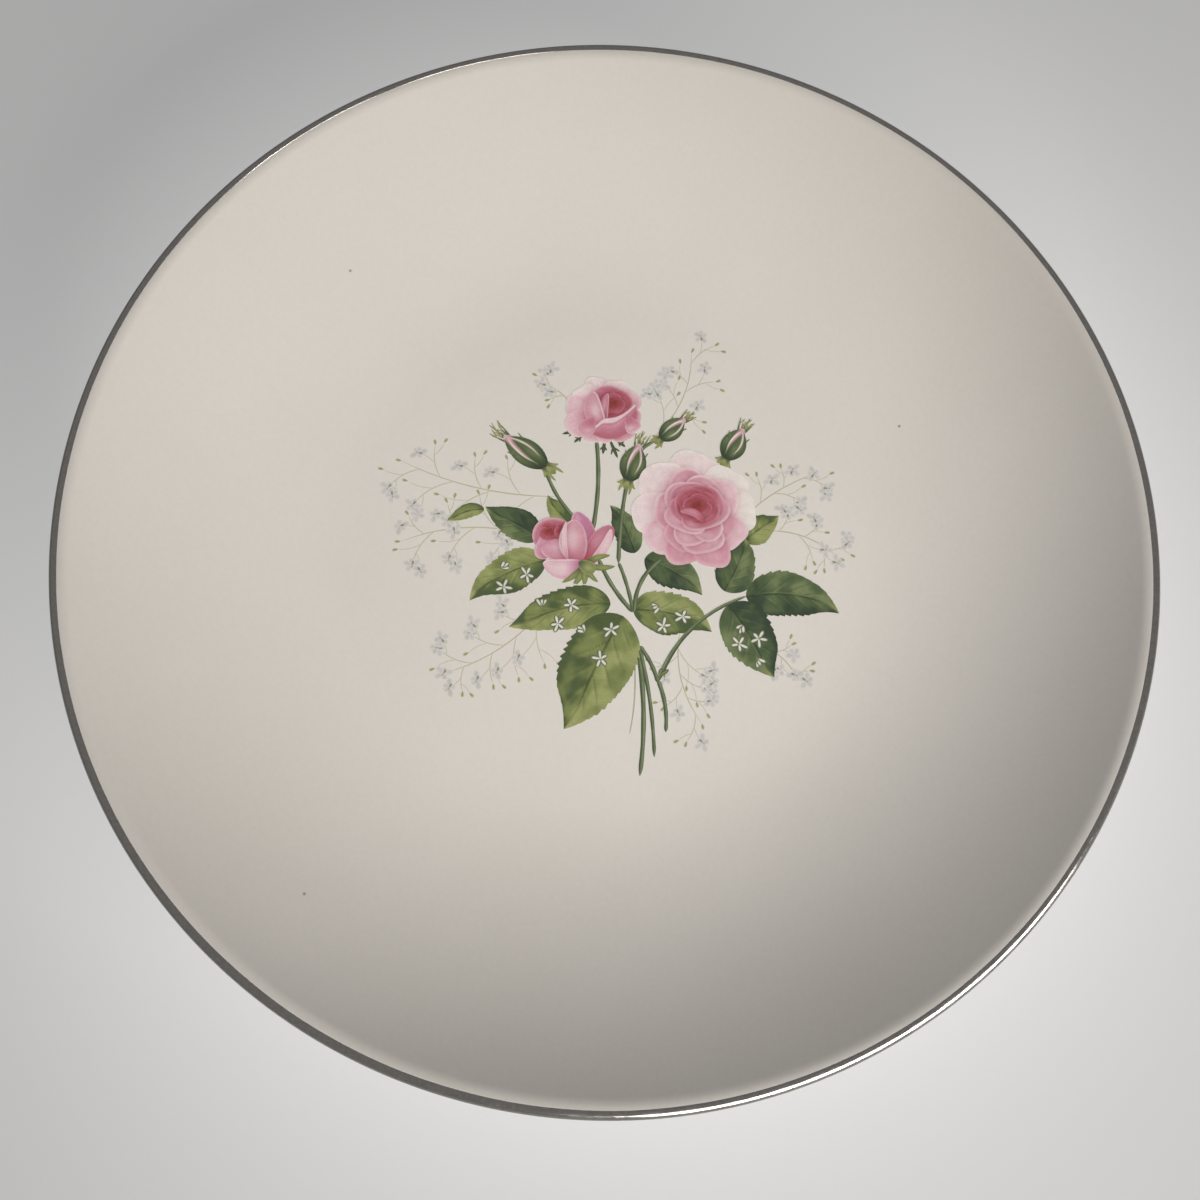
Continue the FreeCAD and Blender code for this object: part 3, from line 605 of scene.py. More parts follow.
# Stems: start, end, bow, width at each end, whether it lies over the leaves.
STEMS = [
    ((-3.0, 29.0), (-4.0, 5.0), 0.9, (1.2, 1.3), True),
    ((-16.0, 21.6), (-8.0, 8.0), -1.0, (1.0, 1.2), True),
    ((4.8, 18.0), (2.5, -3.0), -0.5, (1.1, 1.3), True),
    ((13.2, 29.6), (6.6, 24.4), -0.6, (0.9, 1.0), True),
    ((-2.5, -2.0), (6.0, -15.5), -0.8, (1.2, 1.3), True),
    ((2.5, -3.0), (6.0, -15.5), 0.4, (1.0, 1.1), True),
    ((13.0, -2.0), (6.3, -15.5), -1.8, (1.2, 1.2), True),
    ((7.0, -24.0), (7.4, -55.5), 1.2, (1.5, 1.2), False),
    ((7.4, -24.0), (10.9, -51.0), 0.8, (1.2, 1.0), False),
    ((7.6, -24.0), (12.0, -33.0), 0.5, (1.2, 1.2), False),
    ((12.0, -32.5), (13.7, -45.0), 0.8, (1.3, 1.0), True),
    ((12.0, -32.8), (34.0, -11.4), 3.6, (1.4, 0.8), True),
]
# Sprays: root, tip, bow, side twigs.
SPRAYS = [
    ((-12.6, 14.0), (-52.0, 23.0), 2.5, 7),
    ((-18.0, 3.5), (-51.5, 2.0), -3.0, 6),
    ((-14.0, -12.0), (-40.0, -31.0), 3.0, 7),
    ((-9.5, 38.5), (-17.0, 44.0), -1.0, 2),
    ((10.5, 29.0), (21.5, 53.0), -3.0, 6),
    ((35.0, 10.0), (52.0, 20.5), 1.0, 4),
    ((40.0, 5.5), (57.5, -1.5), 2.0, 5),
    ((17.5, -20.0), (22.5, -43.0), -2.5, 6),
    ((38.0, -24.0), (45.5, -31.0), 1.0, 3),
]
STAR_FLOWERS = [
    (-26.5, -4.6), (-25.8, -9.4), (-20.2, -6.2),
    (-16.5, -14.2), (-9.2, -13.8), (-12.4, -18.6),
    (-5.8, -20.6), (-2.0, -27.2), (0.6, -20.0),
    (12.6, -14.2), (13.4, -19.0), (18.2, -16.6),
    (33.0, -18.6), (36.8, -22.0), (32.0, -23.4), (36.4, -27.0),
]

# Heights of the printed layers above the glaze, in millimetres. Neighbours in a layer differ by half a
# thousandth or more, because no two overlapping faces may lie in one plane.
SPRAY_TOP, FLORET_TOP, LOW_STEM_TOP, LIGHT_LEAF_TOP, DARK_LEAF_TOP = 0.006, 0.016, 0.032, 0.040, 0.053
STEM_TOP, STAR_TOP, BUD_TOP, ROSE_TOP = 0.064, 0.078, 0.086, 0.088
LAYER = 0.001


def rose_sheet(canvas):
    """A painted rose as a sheet."""
    sheet = Sheet()
    sheet.canvas(canvas, ROSE_TOP)
    return sheet


def paint_large_rose():
    """A full-blown rose: broad pale guard petals, pinker ones stacked below, and a deep cup."""
    canvas = Canvas((22.0, 10.0), 17, 17, 0.18)
    guards = [
        (90, 44, 15.6, BLUSH, PALE, CREAM), (44, 38, 14.8, BLUSH, CREAM, CREAM),
        (138, 40, 16.2, PINK, PALE, CREAM), (2, 36, 15.2, BLUSH, CREAM, CREAM),
        (182, 34, 16.0, BLUSH, PALE, CREAM), (221, 32, 15.4, PINK, BLUSH, PALE),
        (-37, 34, 13.8, PINK, BLUSH, PALE), (252, 30, 15.0, ROSE, PINK, BLUSH),
        (289, 30, 15.2, ROSE, PINK, BLUSH),
    ]
    for number, (angle, half, reach, *tones) in enumerate(guards):
        petal(canvas, (22.0, 10.6), angle, half, reach, tones, 1.7 * number, shadow=0.22)
    stacked = [
        ((22.4, 12.0), 118, 52, 9.8, PETAL_TONES), ((23.0, 11.2), 22, 52, 10.2, (PINK, BLUSH, PALE)),
        ((21.8, 11.0), 186, 46, 10.8, PETAL_TONES), ((22.6, 10.2), -28, 44, 9.8, (ROSE, PINK, BLUSH)),
        ((21.6, 9.6), 236, 44, 10.0, (ROSE, PINK, BLUSH)), ((22.8, 8.4), 276, 62, 9.4, PETAL_TONES),
        ((21.6, 9.2), 258, 58, 7.9, PETAL_TONES), ((23.4, 9.8), 290, 58, 7.2, PETAL_TONES),
    ]
    for number, (root, angle, half, reach, tones) in enumerate(stacked):
        petal(canvas, root, angle, half, reach, tones, 2.3 * number + 1, shadow=0.42)
    heart = (22.2, 12.0)
    cup = [
        (8.7, 66, (64, 152, 238, 330), PETAL_TONES), (7.3, 72, (18, 122, 204, 286), (CORAL, ROSE, BLUSH)),
        (6.0, 76, (76, 186, 306), (GARNET, CORAL, PINK)), (5.0, 80, (10, 128, 246), HEART_TONES),
        (3.7, 84, (70, 190, 310), HEART_TONES), (2.2, 90, (20, 200), (GARNET * 0.8, GARNET, CORAL)),
    ]
    for level, (reach, half, angles, tones) in enumerate(cup):
        for number, angle in enumerate(angles):
            grow = 1 + 0.06 * math.sin(4 * number + 3 * level)
            petal(canvas, heart, angle, half, reach * grow, tones, number + 2.1 * level, 0.88, 0.44)
    lobe(canvas, (24.0, 7.4), (18.0, 10.4), 1.9, (CORAL, ROSE, PINK), bow=-1.2, rims=(0.9, 0.3), shadow=0.4)
    return rose_sheet(canvas)


def paint_top_rose():
    """A cupped rose seen a little from below: its deep heart sits high, and a front petal folds across it."""
    canvas = Canvas((-1.4, 37.0), 13.0, 12.5, 0.16)
    guards = [
        (100, 36, 9.8, PINK, PALE, CREAM), (62, 36, 9.6, PINK, PALE, CREAM),
        (136, 34, 9.6, PINK, PALE, CREAM), (22, 34, 9.8, PINK, BLUSH, PALE),
        (172, 32, 10.0, PINK, BLUSH, PALE), (208, 34, 10.8, ROSE, BLUSH, PALE),
        (-16, 34, 9.6, ROSE, PINK, PALE), (246, 32, 9.8, ROSE, BLUSH, PALE),
        (-52, 32, 10.0, ROSE, PINK, PALE), (278, 30, 9.0, ROSE, BLUSH, PALE),
    ]
    for number, (angle, half, reach, *tones) in enumerate(guards):
        petal(canvas, (-1.2, 36.8), angle, half, reach, tones, 1.3 * number, 0.95, 0.26)
    petal(canvas, (0.2, 36.8), 92, 64, 6.9, (CORAL, ROSE, PINK), 0.7, 0.95, 0.40)
    petal(canvas, (0.6, 37.2), 36, 56, 6.4, (CORAL, ROSE, BLUSH), 2.7, 0.95, 0.40)
    petal(canvas, (0.0, 37.4), 140, 56, 5.8, (CORAL, ROSE, PINK), 4.7, 0.95, 0.40)
    for reach, half, angles, tones in (
        (4.6, 80, (30, 150, 270), HEART_TONES), (3.2, 84, (90, 210, 330), HEART_TONES),
        (1.9, 90, (20, 200), (GARNET * 0.85, GARNET, CORAL)),
    ):
        for number, angle in enumerate(angles):
            petal(canvas, (1.3, 38.9), angle, half, reach, tones, number + reach, 0.9, 0.42)
    lobe(canvas, (-0.8, 33.2), (-0.2, 41.6), 2.2, (CORAL, ROSE, BLUSH), bow=0.6, rims=(0.2, 0.9), shadow=0.4)
    lobe(canvas, (-1.2, 32.0), (-4.0, 42.0), 4.8, PETAL_TONES, bow=1.2, light=(-0.2, 0.5), rims=(0.3, 0.9),
         shadow=0.5)
    dx, dy = (canvas.x - 0.2) / 7.1, (canvas.y - 36.2) / 6.9
    round_edge = (1 - np.hypot(dx, dy)) * 7.0
    fold = 33.6 + 1.3 * np.tanh((canvas.x + 2.4) / 1.3) + 0.085 * np.maximum(canvas.x, 0) ** 2
    below = fold - canvas.y
    edge = np.minimum(round_edge, below)
    canvas.cast(edge, 0.5, 0.8)
    rgb = mix(PINK, ROSE, smooth(0.5, 3.0, below))
    rgb = mix(rgb, BLUSH, 0.55 * bell(canvas.x + 0.2 * below, 2.2, 2.0) * smooth(4.0, 1.0, below))
    rgb = mix(rgb, CORAL, 0.45 * smooth(2.2, 0.3, round_edge) * smooth(0.6, 2.0, below))
    lip_width = 0.75 + 0.55 * bell(canvas.x, 0.8, 2.2)
    rgb = mix(rgb, ROSE, 0.7 * bell(below, lip_width + 0.35, 0.35))
    rgb = mix(rgb, mix(BLUSH, PALE, 0.6), smooth(lip_width + 0.25, lip_width - 0.25, below))
    canvas.lay(edge, rgb)
    petal(canvas, (-3.6, 35.0), 236, 44, 5.6, (ROSE, PINK, BLUSH), 1.1, 0.95, 0.34)
    petal(canvas, (4.6, 35.6), 300, 40, 5.4, PETAL_TONES, 2.2, 0.95, 0.34)
    return rose_sheet(canvas)


def paint_half_open_rose():
    """An opening rose seen from the side: a curled left half, a light centre petal and a pointed right
    one."""
    canvas = Canvas((-8.4, 2.0), 11.5, 10.5, 0.15)
    lobe(canvas, (-8.0, -2.6), (-17.8, 4.6), 8.4, (MAUVE, PINK, LILAC), bow=-0.6, light=(0.2, 0.5),
         shadow=0.2)
    lobe(canvas, (-6.2, -2.4), (-8.0, 10.0), 6.0, (ROSE, MAUVE, LILAC), bow=-1.0, light=(0.3, 0.75),
         rims=(0.9, 0.3))
    petal(canvas, (-11.8, -0.6), 112, 62, 9.2, (CORAL, ROSE, BLUSH), 0.4, 1.0, 0.30)
    petal(canvas, (-12.6, -0.8), 150, 60, 6.2, (ROSE, PINK, LILAC), 2.1, 1.0, 0.36)
    for centre, reach in (((-14.6, 5.0), 2.7), ((-11.4, 5.2), 2.3)):
        for number, angle in enumerate((95, 215, 335)):
            petal(canvas, centre, angle, 84, reach, HEART_TONES, number + reach, 0.95, 0.42)
        petal(canvas, centre, 60, 88, 0.42 * reach, (GARNET * 0.85, GARNET, CORAL), 0.5, 1.0, 0.2)
    for base, tip, width, tones, bow, belly, light, rims, shadow in (
        ((-9.2, -3.0), (-16.6, 0.8), 6.0, (ROSE, PINK, LILAC), -1.2, 0.50, (-0.2, 0.6), (0.8, 0.1), 0.45),
        ((-5.2, -3.4), (0.9, 6.4), 5.4, (CORAL, ROSE, PINK), 0.3, 0.50, (0.3, 0.6), (0.6, 0.2), 0.40),
        ((-5.0, -3.4), (0.7, 5.6), 2.4, (ROSE, BLUSH, PALE), -1.1, 0.50, (0.0, 0.6), (0.9, 0.5), 0.35),
        ((-8.0, -3.2), (-8.6, 8.0), 7.0, PETAL_TONES, 0.5, 0.48, (0.1, 0.58), (0.95, 0.35), 0.55),
        ((-10.0, -2.8), (-10.6, 7.4), 1.3, (PINK, BLUSH, PALE), 0.7, 0.50, (0.0, 0.6), (0.9, 0.9), 0.50),
        ((-6.4, -3.2), (-16.2, -3.4), 5.0, (MAUVE, BLUSH, PALE), 1.5, 0.50, (0.0, 0.6), (0.2, 0.9), 0.50),
    ):
        lobe(canvas, base, tip, width, tones, bow, belly, light, rims, shadow)
    green = (DEEP_GREEN, MOSS, LIME)
    for tip, width, bow in (
        ((-11.4, -8.2), 1.5, 0.5), ((-8.8, -9.2), 1.6, 0.4), ((-6.0, -9.0), 1.7, 0.2),
        ((-2.6, -8.0), 1.4, -0.4), ((1.6, -4.0), 1.6, -0.5), ((0.4, -1.2), 1.6, 0.6),
    ):
        lobe(canvas, (-6.0, -3.6), tip, width, green, bow=bow, belly=0.42, rims=(0.5, 0.0), shadow=0.1)
    lobe(canvas, (-7.4, -2.9), (-3.4, -5.4), 3.4, (LEAF_GREEN, MOSS, STRAW), belly=0.6, shadow=0.2)
    return rose_sheet(canvas)


def paint_bud(sheet, base, tip, width, seed):
    """A bud: a pale pink core between green sepals, whose ends fray into long threads, on a pale green hip.
    The tip is where the threads end."""
    base, tip = np.array(base), np.array(tip)
    way = tip - base
    heading = way / np.linalg.norm(way)
    length = 0.66 * np.linalg.norm(way)
    side = np.array((-heading[1], heading[0]))
    canvas = Canvas(base + 0.45 * way, 0.80 * np.linalg.norm(way), 0.80 * np.linalg.norm(way), 0.14)

    def at(along, across):
        return base + heading * along * length + side * across * width / 2

    green, fresh = (DEEP_GREEN, LEAF_GREEN, SAGE), (LEAF_GREEN, MOSS, STRAW)
    for along, across, end, out, thick in (
        (0.86, 0.10, 1.52, 0.06, 0.50), (0.84, -0.05, 1.44, -0.52, 0.46), (0.84, 0.22, 1.40, 0.66, 0.46),
        (0.90, 0.02, 1.30, 0.34, 0.36), (0.88, 0.0, 1.34, -0.22, 0.36),
    ):
        foot, point = at(along, across), at(end, out + 0.08 * math.sin(seed + 5 * out))
        lobe(canvas, foot, point, thick, green, bow=0.35 * (out - across), belly=0.25, shadow=0)
        for share, turn in ((0.40, 1), (0.60, -1)):
            hair = foot + share * (point - foot)
            lobe(canvas, hair, hair + 0.20 * length * heading + 0.07 * turn * length * side, 0.28, fresh,
                 shadow=0)
    lobe(canvas, at(-0.24, 0), at(0.14, 0), 0.44 * width, (MOSS, LIME, STRAW), belly=0.62, shadow=0)
    lobe(canvas, at(0.08, 0.02), at(1.08, 0.08), 0.72 * width, (PINK, BLUSH, PALE), belly=0.42, shadow=0)
    lobe(canvas, at(0.2, 0.12), at(1.04, 0.14), 0.20 * width, (ROSE, PINK, BLUSH), bow=0.05 * width,
         shadow=0.2)
    lobe(canvas, at(0.0, 0.10), at(1.02, 0.26), 0.34 * width, green, bow=0.27 * width, belly=0.36,
         rims=(0.1, 0.9))
    lobe(canvas, at(0.0, -0.10), at(0.98, -0.14), 0.34 * width, green, bow=-0.27 * width, belly=0.36,
         light=(0.3, 0.5), rims=(0.9, 0.1))
    lobe(canvas, at(0.0, 0.0), at(0.92, -0.08), 0.40 * width, green, bow=-0.03 * width, belly=0.30,
         light=(-0.3, 0.45), rims=(0.7, 0.9))
    for across, bend, pale in ((-0.20, -0.17, BLUSH), (0.20, 0.13, CREAM)):
        lobe(canvas, at(0.16, across), at(0.98, 0.3 * across), 0.42, (MOSS, pale, CREAM), bow=bend * width,
             belly=0.6, shadow=0)
    for along, across, end, out in ((0.62, 0.74, 0.84, 0.96), (0.70, -0.62, 0.92, -0.82)):
        lobe(canvas, at(along, across), at(end, out), 0.36, green, belly=0.3, shadow=0)
    for across, back, bend in (
        (-0.74, -0.16, -0.3), (0.78, -0.12, 0.3), (-0.42, -0.36, 0.2), (0.44, -0.34, -0.2)
    ):
        lobe(canvas, at(0.03, 0.35 * across), at(back, across), 0.85, fresh, bow=bend, belly=0.4, shadow=0.1)
    sheet.canvas(canvas, BUD_TOP)


def paint_buds():
    """All the buds."""
    sheet = Sheet()
    for number, (base, tip, width) in enumerate(BUDS):
        paint_bud(sheet, base, tip, width, 1.7 * number)
    return sheet


def paint_stems():
    """Round stems, lit on one side."""
    sheet = Sheet()
    for start, end, bow, widths, above in STEMS:
        slim = (0.86 * widths[0], 0.86 * widths[1])
        ribbon(sheet, start, end, bow, slim, (STEM_DARK, STEM_LIGHT), STEM_TOP if above else LOW_STEM_TOP)
    ribbon(sheet, (6.2, -27.0), (5.0, -45.5), 0.7, (0.4, 0.25), (STEM_LIGHT, STALK), LOW_STEM_TOP, 0.8)
    for root, angle, length in (
        ((-6.4, 32.0), 196, 5.4), ((-5.6, 31.4), 226, 4.4), ((-0.8, 29.4), 262, 4.2), ((0.2, 29.6), 292, 5.8),
        ((1.2, 30.0), 318, 4.2),
    ):
        blade(sheet, root, angle, length, 0.95, LEAF_GREEN, 1.0, STEM_TOP, DEEP_GREEN)
        a = math.radians(angle)
        barb = (root[0] + 0.45 * length * math.cos(a), root[1] + 0.45 * length * math.sin(a))
        for turn in (-34, 34):
            blade(sheet, barb, angle + turn, 0.36 * length, 0.5, LEAF_GREEN, 1.0, STEM_TOP, DEEP_GREEN)
    for angle, length in ((35, 3.0), (70, 2.2)):
        blade(sheet, (12.2, -31.5), angle, length, 1.1, MOSS, 1.0, STEM_TOP, STEM_DARK)
    return sheet


def paint_leaves(leaves, tones, top):
    """One colour family of leaves."""
    sheet = Sheet()
    for number, (base, tip, fullness, bow, lit) in enumerate(leaves):
        leaf(sheet, base, tip, fullness, bow, tones, lit, top + LAYER * number, 1.37 * number + 0.2)
    return sheet


def paint_star_flowers():
    """Small white flowers with drawn outlines, printed over the leaves."""
    sheet = Sheet()
    for number, place in enumerate(STAR_FLOWERS):
        turn = gold_step(number)
        petals = 5 if number % 3 else 3
        spread = 72 if petals == 5 else 34
        for step in range(petals):
            angle = turn + spread * step + 7 * math.sin(3 * step + number)
            length = 2.2 + 0.3 * math.sin(2 * step + number)
            blade(sheet, place, angle, length, 1.35, STAR_WHITE, 1.0, STAR_TOP, STAR_LINE)
        blade(sheet, place, turn + 36, 0.6, 0.6, STAR_HEART, 1.0, STAR_TOP, STAR_LINE)
    return sheet


def spray_strokes(root, tip, bow, twigs):
    """The stalk of a spray, its side twigs and their offshoots, each as level, start, end and bow."""
    length = math.dist(root, tip)
    strokes = [(0, root, tip, bow)]
    for number in range(1, twigs + 1):
        wander = math.sin(2.7 * number + root[0])
        share = (number + 0.25 * wander) / (twigs + 1)
        line, normal = leaf_frame(root, tip, bow, [share])
        heading = math.atan2(-normal[0, 0], normal[0, 1])
        side = 1 if number % 2 else -1
        reach = (length * (0.27 - 0.11 * share) + 2.0) * (1 + 0.22 * wander)
        angle = heading + side * math.radians(56 - 10 * wander)
        end = (line[0, 0] + reach * math.cos(angle), line[0, 1] + reach * math.sin(angle))
        curve = -0.10 * side * reach
        strokes.append((1, tuple(line[0]), end, curve))
        for part, turn, size in ((0.44, -1, 0.52), (0.70, 1, 0.40)):
            fork, _ = leaf_frame(line[0], end, curve, [part])
            away = angle + turn * side * math.radians(46)
            short = size * reach + 0.6
            offshoot = (fork[0, 0] + short * math.cos(away), fork[0, 1] + short * math.sin(away))
            strokes.append((2, tuple(fork[0]), offshoot, 0.08 * side * short))
    return strokes


def paint_sprays():
    """Fine sprays: hairline stalks in one colour, and pale florets and seed buds in another."""
    stalks, florets = Sheet(), Sheet()
    number = 0
    for spray in SPRAYS:
        for level, start, end, bow in spray_strokes(*spray):
            number += 1
            widths = ((0.34, 0.22), (0.26, 0.20), (0.22, 0.16))[level]
            ribbon(stalks, start, end, bow, widths, (STALK, STALK), SPRAY_TOP, (0.70, 0.62, 0.52)[level],
                   rows=12)
            way = math.degrees(math.atan2(end[1] - start[1], end[0] - start[0]))
            if number % 2:
                blade(florets, end, way, 1.6, 1.0, SEED_GREEN, 0.95, FLORET_TOP)
                continue
            for step in range(5):
                angle = way + 72 * step + 12 * math.sin(5 * step + number)
                length = 2.1 + 0.5 * math.sin(3 * step + 2 * number)
                tone = FLORET_BLUE if (step + number) % 2 else FLORET_LILAC
                blade(florets, end, angle, length, 1.7, tone, 0.60, FLORET_TOP)
            blade(florets, end, way + 200, 1.3, 0.9, FLORET_HEART, 0.85, FLORET_TOP)
            blade(florets, end, way + 20, 0.8, 0.7, FLORET_HEART, 0.60, FLORET_TOP)
    return stalks, florets


# ---- materials ----


class Nodes:
    """The node tree of a material or a world, under construction."""

    def __init__(self, owner):
        owner.use_nodes = True
        self.owner = owner
        self.tree = owner.node_tree

    def add(self, kind, inputs=None, **settings):
        """A node with its settings and inputs, where an input is a value or another node's socket."""
        node = self.tree.nodes.new(kind)
        for key, value in settings.items():
            setattr(node, key, value)
        for key, value in (inputs or {}).items():
            self.feed(node.inputs[key], value)
        return node

    def feed(self, socket, value):
        """Links a socket to an input, or sets the input's value."""
        if isinstance(value, bpy.types.NodeSocket):
            self.tree.links.new(value, socket)
        else:
            socket.default_value = value

    def coordinates(self):
        return self.add("ShaderNodeTexCoord").outputs["Object"]

    def noise(self, vector, scale, detail=3.0, roughness=0.5):
        node = self.add("ShaderNodeTexNoise", {"Vector": vector, "Scale": scale, "Detail": detail,
                                               "Roughness": roughness})
        return node.outputs["Fac"]

    def remap(self, value, low, high, to_low, to_high):
        node = self.add("ShaderNodeMapRange", {"Value": value, "From Min": low, "From Max": high,
                                               "To Min": to_low, "To Max": to_high})
        return node.outputs["Result"]

    def mottled(self, vector, scale, detail, low, high):
        """Noise whose middle range runs from low to high."""
        return self.remap(self.noise(vector, scale, detail), 0.3, 0.7, low, high)

    def maths(self, operation, a, b=0.0):
        return self.add("ShaderNodeMath", {0: a, 1: b}, operation=operation).outputs[0]

    def blend(self, share, a, b, kind="MIX"):
        node = self.add("ShaderNodeMix", data_type="RGBA", blend_type=kind)
        for index, value in ((0, share), (6, a), (7, b)):
            self.feed(node.inputs[index], value)
        return node.outputs[2]

    def bump(self, height, distance, below=None):
        inputs = {"Height": height, "Distance": distance, "Strength": 1.0}
        if below is not None:
            inputs["Normal"] = below
        return self.add("ShaderNodeBump", inputs).outputs["Normal"]

    def radius(self, vector):
        """Distance from the plate's axis."""
        split = self.add("ShaderNodeSeparateXYZ", {"Vector": vector}).outputs
        flat = self.add("ShaderNodeCombineXYZ", {"X": split["X"], "Y": split["Y"]}).outputs["Vector"]
        return self.add("ShaderNodeVectorMath", {0: flat}, operation="LENGTH").outputs["Value"]

    def finish(self, **inputs):
        for key, value in inputs.items():
            self.feed(self.tree.nodes["Principled BSDF"].inputs[key.replace("_", " ")], value)
        return self.owner


def material_nodes(name):
    """The nodes of a new material, with the place on the object that they read."""
    nodes = Nodes(bpy.data.materials.new(name))
    return nodes, nodes.coordinates()


def rgba(colour, scale=1.0):
    return tuple(float(c) * scale for c in colour) + (1.0,)


# Specks in the glaze of the flank, in millimetres from the plate's centre.
SPECKS = [(-66.0, 72.0), (74.0, 33.0), (-69.0, -83.0)]


def face_height(radius):
    """Height of the glazed face at a place on its flank."""
    return FLANK_CENTRE[1] - math.sqrt((FLANK - GLAZE) ** 2 - (radius - WELL_RADIUS) ** 2)


def glaze_colour(nodes, where):
    """Warm ivory glaze: slow clouding, a faint fine mottle and three dark specks left by the firing."""
    cloud = nodes.noise(where, 16.0, 2.0)
    mottle = nodes.mottled(where, 900.0, 2.0, 0.0, 1.0)
    tone = nodes.blend(nodes.remap(cloud, 0.35, 0.65, 0.0, 1.0), rgba(IVORY, 0.985),
                       rgba(IVORY * (1.012, 1.012, 1.022)))
    tone = nodes.blend(mottle, tone, rgba((0.975, 0.975, 0.97)), "MULTIPLY")
    nearest = 1.0
    for x, y in SPECKS:
        place = tuple(MM * v for v in (x, y, face_height(math.hypot(x, y))))
        away = nodes.add("ShaderNodeVectorMath", {0: where, 1: place}, operation="DISTANCE").outputs["Value"]
        nearest = nodes.maths("MINIMUM", away, nearest)
    dark = nodes.remap(nearest, 0.15 * MM, 0.5 * MM, 0.7, 0.0)
    return nodes.blend(dark, tone, rgba((0.12, 0.09, 0.06)))


def glaze_relief(nodes, where):
    """What firing and turning leave in the glaze: a slight orange peel, slow swells and faint turning
    rings."""
    rings = nodes.maths("SINE", nodes.maths("MULTIPLY", nodes.radius(where), 1500.0))
    relief = nodes.bump(nodes.noise(where, 620.0, 2.0), 5e-6)
    relief = nodes.bump(nodes.noise(where, 70.0, 1.0), 6e-5, relief)
    return nodes.bump(rings, 4e-7, relief)


def glaze_material():
    nodes, where = material_nodes("ivory_glaze")
    rough = nodes.mottled(where, 45.0, 4.0, 0.07, 0.13)
    return nodes.finish(Base_Color=glaze_colour(nodes, where), Roughness=rough, IOR=1.52,
                        Normal=glaze_relief(nodes, where))


def print_material():
    """Fired enamel: its own colour where it is strong, and the glaze's where it thins out."""
    nodes, where = material_nodes("fired_print")
    colour = nodes.add("ShaderNodeAttribute", attribute_name="print_colour").outputs["Color"]
    strength = nodes.add("ShaderNodeAttribute", attribute_name="print_ink").outputs["Fac"]
    grain = nodes.mottled(where, 2600.0, 2.0, 0.94, 1.06)
    wash = nodes.mottled(where, 420.0, 3.0, 0.93, 1.07)
    grain = nodes.maths("MULTIPLY", grain, wash)
    grey = nodes.add("ShaderNodeCombineColor", {0: grain, 1: grain, 2: grain}).outputs[0]
    colour = nodes.blend(1.0, colour, grey, "MULTIPLY")
    rough = nodes.mottled(where, 300.0, 3.0, 0.11, 0.19)
    return nodes.finish(Base_Color=nodes.blend(strength, glaze_colour(nodes, where), colour), Roughness=rough,
                        IOR=1.5, Normal=glaze_relief(nodes, where))


def metal_material():
    """Burnished platinum, with brushing along the edge and a few thin worn places."""
    nodes, where = material_nodes("burnished_platinum")
    fine = nodes.noise(where, 1400.0, 2.0)
    wear = nodes.noise(where, 110.0, 5.0, 0.65)
    worn = nodes.remap(wear, 0.70, 0.76, 0.0, 0.6)
    colour = nodes.blend(nodes.remap(fine, 0.3, 0.7, 0.0, 1.0), rgba((0.50, 0.47, 0.44)),
                         rgba((0.60, 0.57, 0.54)))
    rough = nodes.mottled(where, 260.0, 4.0, 0.12, 0.26)
    return nodes.finish(Base_Color=nodes.blend(worn, colour, rgba((0.55, 0.50, 0.45))), Roughness=rough,
                        Metallic=nodes.maths("SUBTRACT", 1.0, worn), Normal=nodes.bump(fine, 3e-6))


def bisque_material():
    """Bare fired body on the foot: matt, gritty, a little grey where it has rubbed on tables."""
    nodes, where = material_nodes("bare_foot")
    grit = nodes.noise(where, 2200.0, 4.0, 0.7)
    rubbed = nodes.noise(where, 90.0, 5.0, 0.6)
    colour = nodes.blend(nodes.remap(grit, 0.3, 0.7, 0.0, 1.0), rgba((0.62, 0.57, 0.50)),
                         rgba((0.74, 0.70, 0.63)))
    colour = nodes.blend(nodes.remap(rubbed, 0.52, 0.72, 0.0, 0.55), colour, rgba((0.36, 0.34, 0.31)))
    return nodes.finish(Base_Color=colour, Roughness=nodes.remap(grit, 0.2, 0.8, 0.75, 0.95),
                        Normal=nodes.bump(grit, 4e-5))


def floor_material():
    """Plain pale paper. A lift that only the camera sees keeps it pale beyond the overhead lamp's pool."""
    nodes, where = material_nodes("pale_floor")
    tone = nodes.mottled(where, 3.0, 2.0, 0.0, 1.0)
    colour = nodes.blend(tone, rgba((0.54, 0.54, 0.54)), rgba((0.56, 0.56, 0.56)))
    seen = nodes.add("ShaderNodeLightPath").outputs["Is Camera Ray"]
    return nodes.finish(Base_Color=colour, Roughness=0.75, Emission_Color=(1.0, 1.0, 1.0, 1.0),
                        Emission_Strength=nodes.maths("MULTIPLY", seen, 0.28))


# ---- assembly ----


def settle(obj, node):
    """A piece stands for its CAD node, which it hides, and rides with the plate."""
    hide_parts(node)
    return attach(obj, "root")


PRINT = print_material()
GLAZE_MATERIAL = glaze_material()

coat = turned("glaze", coat_section(), COAT_SEGMENTS)
recess = turned("recess_glaze", recess_section(), RECESS_SEGMENTS)
line = edge_line("edge_line", LINE_SEGMENTS)
for piece, material, node, slot in (
    (coat, GLAZE_MATERIAL, "glaze_coat", "glaze"),
    (recess, GLAZE_MATERIAL, "foot_recess_glaze", "glaze"),
    (line, metal_material(), "platinum_edge_line", "platinum"),
):
    piece.data.materials.append(material)
    settle(piece, node)
bisque = bisque_material()
for material_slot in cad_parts["porcelain_body"].material_slots:
    material_slot.material = bisque

